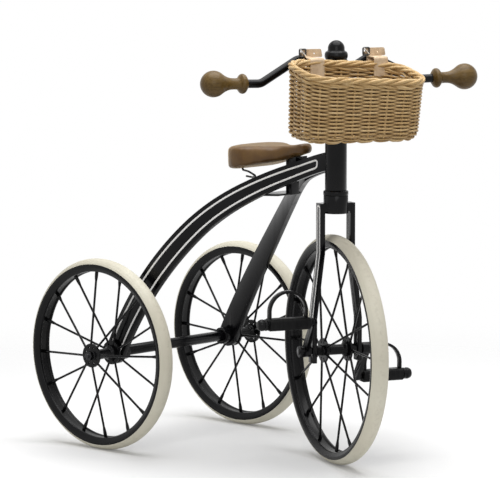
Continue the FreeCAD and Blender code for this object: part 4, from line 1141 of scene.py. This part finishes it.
for which, middle in strap_middles.items():
    name, bar_out = "strap_" + which, abs(middle)
    centre = Vector((-2.3 * mm, min(611.0 * mm + bar_slope * (bar_out - 20.0 * mm), 630.0 * mm)))
    side = 1 if middle > 0 else -1
    rest = bar_radius + leather / 2 + 0.2 * mm
    path = rounded_path([(inside_x, strap_foot), (inside_x, rim_top), (23.0 * mm, rim_top),
                         (6.0 * mm, rim_top)], 4.0 * mm)
    for step in range(13):
        angle = math.radians(70 + 290 * step / 12)
        path.append(centre + Vector((math.cos(angle), math.sin(angle))) * rest)
    path += rounded_path([(16.0 * mm, 620.0 * mm), (buckle_x, 618.0 * mm),
                          (buckle_x, strap_foot)], 4.0 * mm)

    def lift(point, y, side=side, bar_out=bar_out):
        near_bar = max(0.0, min(1.0, (18.0 * mm - point.x) / (14.0 * mm)))
        slope = bar_slope if bar_out < 50.0 * mm else 0.0
        return y * side * slope * near_bar

    mesh = ribbon(name, path, strap_half, leather, lift)
    mesh.transform(steer @ Matrix.Translation((0.0, middle, 0.0)))
    strap = placed(name + "_leather", mesh, "steering", tan, 45.0)
    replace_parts(strap, name)


# ---- strap ends and buckles ------------------------------------------------------------------
# The free end stands up beside its buckle: a short tongue with a round end and one punched
# hole. The buckle is a square frame of dark steel wire, with a bright tongue pin across it.

def bar_ring(name, corners, wire, ease):
    """A closed frame of round wire through corners in the (across, up) plane."""
    points = softened(corners, ease, steps=5)
    curve = bpy.data.curves.new(name, "CURVE")
    curve.dimensions = "3D"
    spline = curve.splines.new("POLY")
    spline.points.add(len(points) - 1)
    for spot, (y, z) in zip(spline.points, points):
        spot.co = (0.0, y, z, 1.0)
    spline.use_cyclic_u = True
    curve.bevel_depth, curve.bevel_resolution = wire / 2, 3
    bent = set_out(name, curve)
    mesh = plain_mesh(bent)
    bpy.data.objects.remove(bent)
    return mesh


buckle_steel, tree, shader, here = finish("buckle_steel", 0.3, metallic=1.0)
tarnish = noise(tree, here, 220.0, 3.0)
dress(tree, shader, blend_of(tree, tarnish, (0.35, (0.045, 0.043, 0.04)),
                             (0.65, (0.11, 0.105, 0.10))), (tarnish, 0.3, 0.7, 0.2, 0.4))
pin_steel, tree, shader, here = finish("pin_steel", 0.25, metallic=1.0)
dress(tree, shader, blend_of(tree, noise(tree, here, 300.0, 3.0), (0.35, (0.62, 0.61, 0.58)),
                             (0.65, (0.80, 0.79, 0.77))))

for name, middle in strap_middles.items():
    foot = 632.5 * mm
    root, tall, reach = middle - 14.5 * mm, 12.3 * mm, 33.5 * mm
    work = bmesh.new()
    outline = softened([(root, foot), (root + reach, foot), (root + reach - 2.2 * mm, foot + tall),
                        (root, foot + tall)], 2.6 * mm, steps=5)
    hole = Vector((root + reach * 0.60, foot + tall * 0.46))
    ring = [(hole.x + 1.3 * mm * math.cos(a), hole.y + 1.3 * mm * math.sin(a))
            for a in (2 * math.pi * i / len(outline) for i in range(len(outline)))]
    start = min(range(len(ring)), key=lambda i: math.dist(ring[i], outline[0]))
    layers = []
    for x in (6.3 * mm, 8.1 * mm):
        layers.append(([work.verts.new((x, y, z)) for y, z in outline],
                       [work.verts.new((x, *ring[(start + i) % len(ring)]))
                        for i in range(len(ring))]))
    count = len(outline)
    for layer in layers:
        for i in range(count):
            j = (i + 1) % count
            work.faces.new((layer[0][i], layer[0][j], layer[1][j], layer[1][i]))
    for loop in (0, 1):
        for i in range(count):
            j = (i + 1) % count
            work.faces.new((layers[0][loop][i], layers[0][loop][j], layers[1][loop][j],
                            layers[1][loop][i]))
    bmesh.ops.recalc_face_normals(work, faces=work.faces)
    mesh = mesh_of("tongue", work)
    mesh.transform(steer)
    placed(f"strap_end_{name}", mesh, "steering", tan, 45.0)

    y0, z0, wire = middle - 20.5 * mm, foot + 0.1 * mm, 2.6 * mm
    y1, z1 = y0 + 13.0 * mm, z0 + 13.6 * mm
    square = [(y0 + wire / 2, z0 + wire / 2), (y1 - wire / 2, z0 + wire / 2),
              (y1 - wire / 2, z1 - wire / 2), (y0 + wire / 2, z1 - wire / 2)]
    mesh = bar_ring("buckle", square, wire, 2.0 * mm)
    mesh.transform(steer @ Matrix.Translation((9.0 * mm, 0.0, 0.0)))
    square_frame = placed(f"buckle_{name}_frame", mesh, "steering", buckle_steel,
                          45.0)
    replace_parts(square_frame, "buckle_" + name)
    low = Vector((0, y1 - 2.0 * mm, z0 + 2.2 * mm))
    high = Vector((0, y0 + 2.4 * mm, z1 - 1.6 * mm))
    long = (high - low).length
    pin = turned("pin", softened([(0.0, 0.0), (0.0, 1.25 * mm), (long, 0.9 * mm), (long, 0.0)],
                                 0.6 * mm, loop=False), 14, loop=False)
    aim = (high - low).to_track_quat("Y", "X").to_matrix().to_4x4()
    pin.transform(steer @ Matrix.Translation(low + Vector((10.2 * mm, 0, 0))) @ aim)
    placed(f"buckle_{name}_pin", pin, "steering", pin_steel, 45.0)


# ---- studio ----------------------------------------------------------------------------------
# A round pale floor, painted darker towards the middle as a painted shadow pool, that fades into
# a white surround, one wide soft lamp overhead and one at the side, and a long lens a few
# metres off, a little above the wheels.

def seen_directly(tree):
    """One for what the lens sees, straight or in gloss and glass."""
    path = tree.nodes.new("ShaderNodeLightPath")
    first = arithmetic(tree, "MAXIMUM", path.outputs["Is Camera Ray"],
                       path.outputs["Is Glossy Ray"])
    return arithmetic(tree, "MAXIMUM", first, path.outputs["Is Transmission Ray"])


work = bmesh.new()
bmesh.ops.create_circle(work, cap_ends=True, segments=96, radius=1.6)
floor = set_out("floor", mesh_of("floor", work))
paper = bpy.data.materials.new("floor_paper")
paper.use_nodes = True
tree = paper.node_tree
tree.nodes.clear()
here = feed(tree, "ShaderNodeTexCoord", out="Object")
far = feed(tree, "ShaderNodeVectorMath", here, operation="LENGTH", out="Value")
# Painted shadow: the floor's colour rises from 0.66 in the middle to 0.88 by 0.42 m out, a painted
# pool of shade under the tricycle added to the shadow it casts.
tone = feed(tree, "ShaderNodeMapRange", far, 0.10, 0.42, 0.66, 0.88,
            interpolation_type="SMOOTHSTEP")
matt = feed(tree, "ShaderNodeBsdfDiffuse", feed(tree, "ShaderNodeCombineColor", tone, tone, tone))
glow = feed(tree, "ShaderNodeEmission", Color=(1.0, 1.0, 1.0, 1.0), Strength=arithmetic(
    tree, "MULTIPLY", seen_directly(tree), 0.12))
lit = feed(tree, "ShaderNodeAddShader", matt, glow)
fade = feed(tree, "ShaderNodeMapRange", far, 0.45, 1.5, 0.0, 1.0,
            interpolation_type="SMOOTHSTEP")
under = feed(tree, "ShaderNodeNewGeometry", out="Backfacing")
gone = arithmetic(tree, "MAXIMUM", fade, under)
shown = feed(tree, "ShaderNodeMixShader", gone, lit, feed(tree, "ShaderNodeBsdfTransparent"))
tree.links.new(shown, tree.nodes.new("ShaderNodeOutputMaterial").inputs["Surface"])
floor.data.materials.append(paper)

world = bpy.data.worlds.new("studio")
bpy.context.scene.world = world
world.use_nodes = True
tree = world.node_tree
tree.nodes.clear()
strength = feed(tree, "ShaderNodeMapRange", seen_directly(tree), 0.0, 1.0, 0.36, 1.0)
sky = feed(tree, "ShaderNodeBackground", (1.0, 1.0, 1.0, 1.0), strength)
tree.links.new(sky, tree.nodes.new("ShaderNodeOutputWorld").inputs["Surface"])

middle = (cad_box[0] + cad_box[1]) / 2
for name, place, size_m, watts in (("overhead", (0.18, 0.05, 2.1), 2.1, 44.0),
                                   ("side", (1.9, -1.7, 1.5), 1.5, 11.0)):
    lamp = bpy.data.lights.new(name, "AREA")
    lamp.shape, lamp.size, lamp.energy = "DISK", size_m, watts
    holder = set_out(name, lamp)
    holder.location = place
    holder.rotation_mode = "QUATERNION"
    holder.rotation_quaternion = (middle - Vector(place)).to_track_quat("-Z", "Y")

lens = bpy.data.cameras.new("lens")
lens.sensor_width, lens.lens = 36.0, 252.0
lens.clip_start, lens.clip_end = 0.1, 60.0
camera = set_out("camera", lens)
aim_at, away_m = Vector((-10.6, 6.2, 335.6)) * mm, 5.515
azimuth, elevation = math.radians(-46.43), math.radians(6.886)
away = Vector((math.cos(elevation) * math.cos(azimuth), math.cos(elevation) * math.sin(azimuth),
               math.sin(elevation)))
camera.location = aim_at + away * away_m
camera.rotation_mode = "QUATERNION"
camera.rotation_quaternion = (-away).to_track_quat("-Z", "Y")
bpy.context.scene.camera = camera
bpy.context.scene.view_settings.view_transform = "Standard"
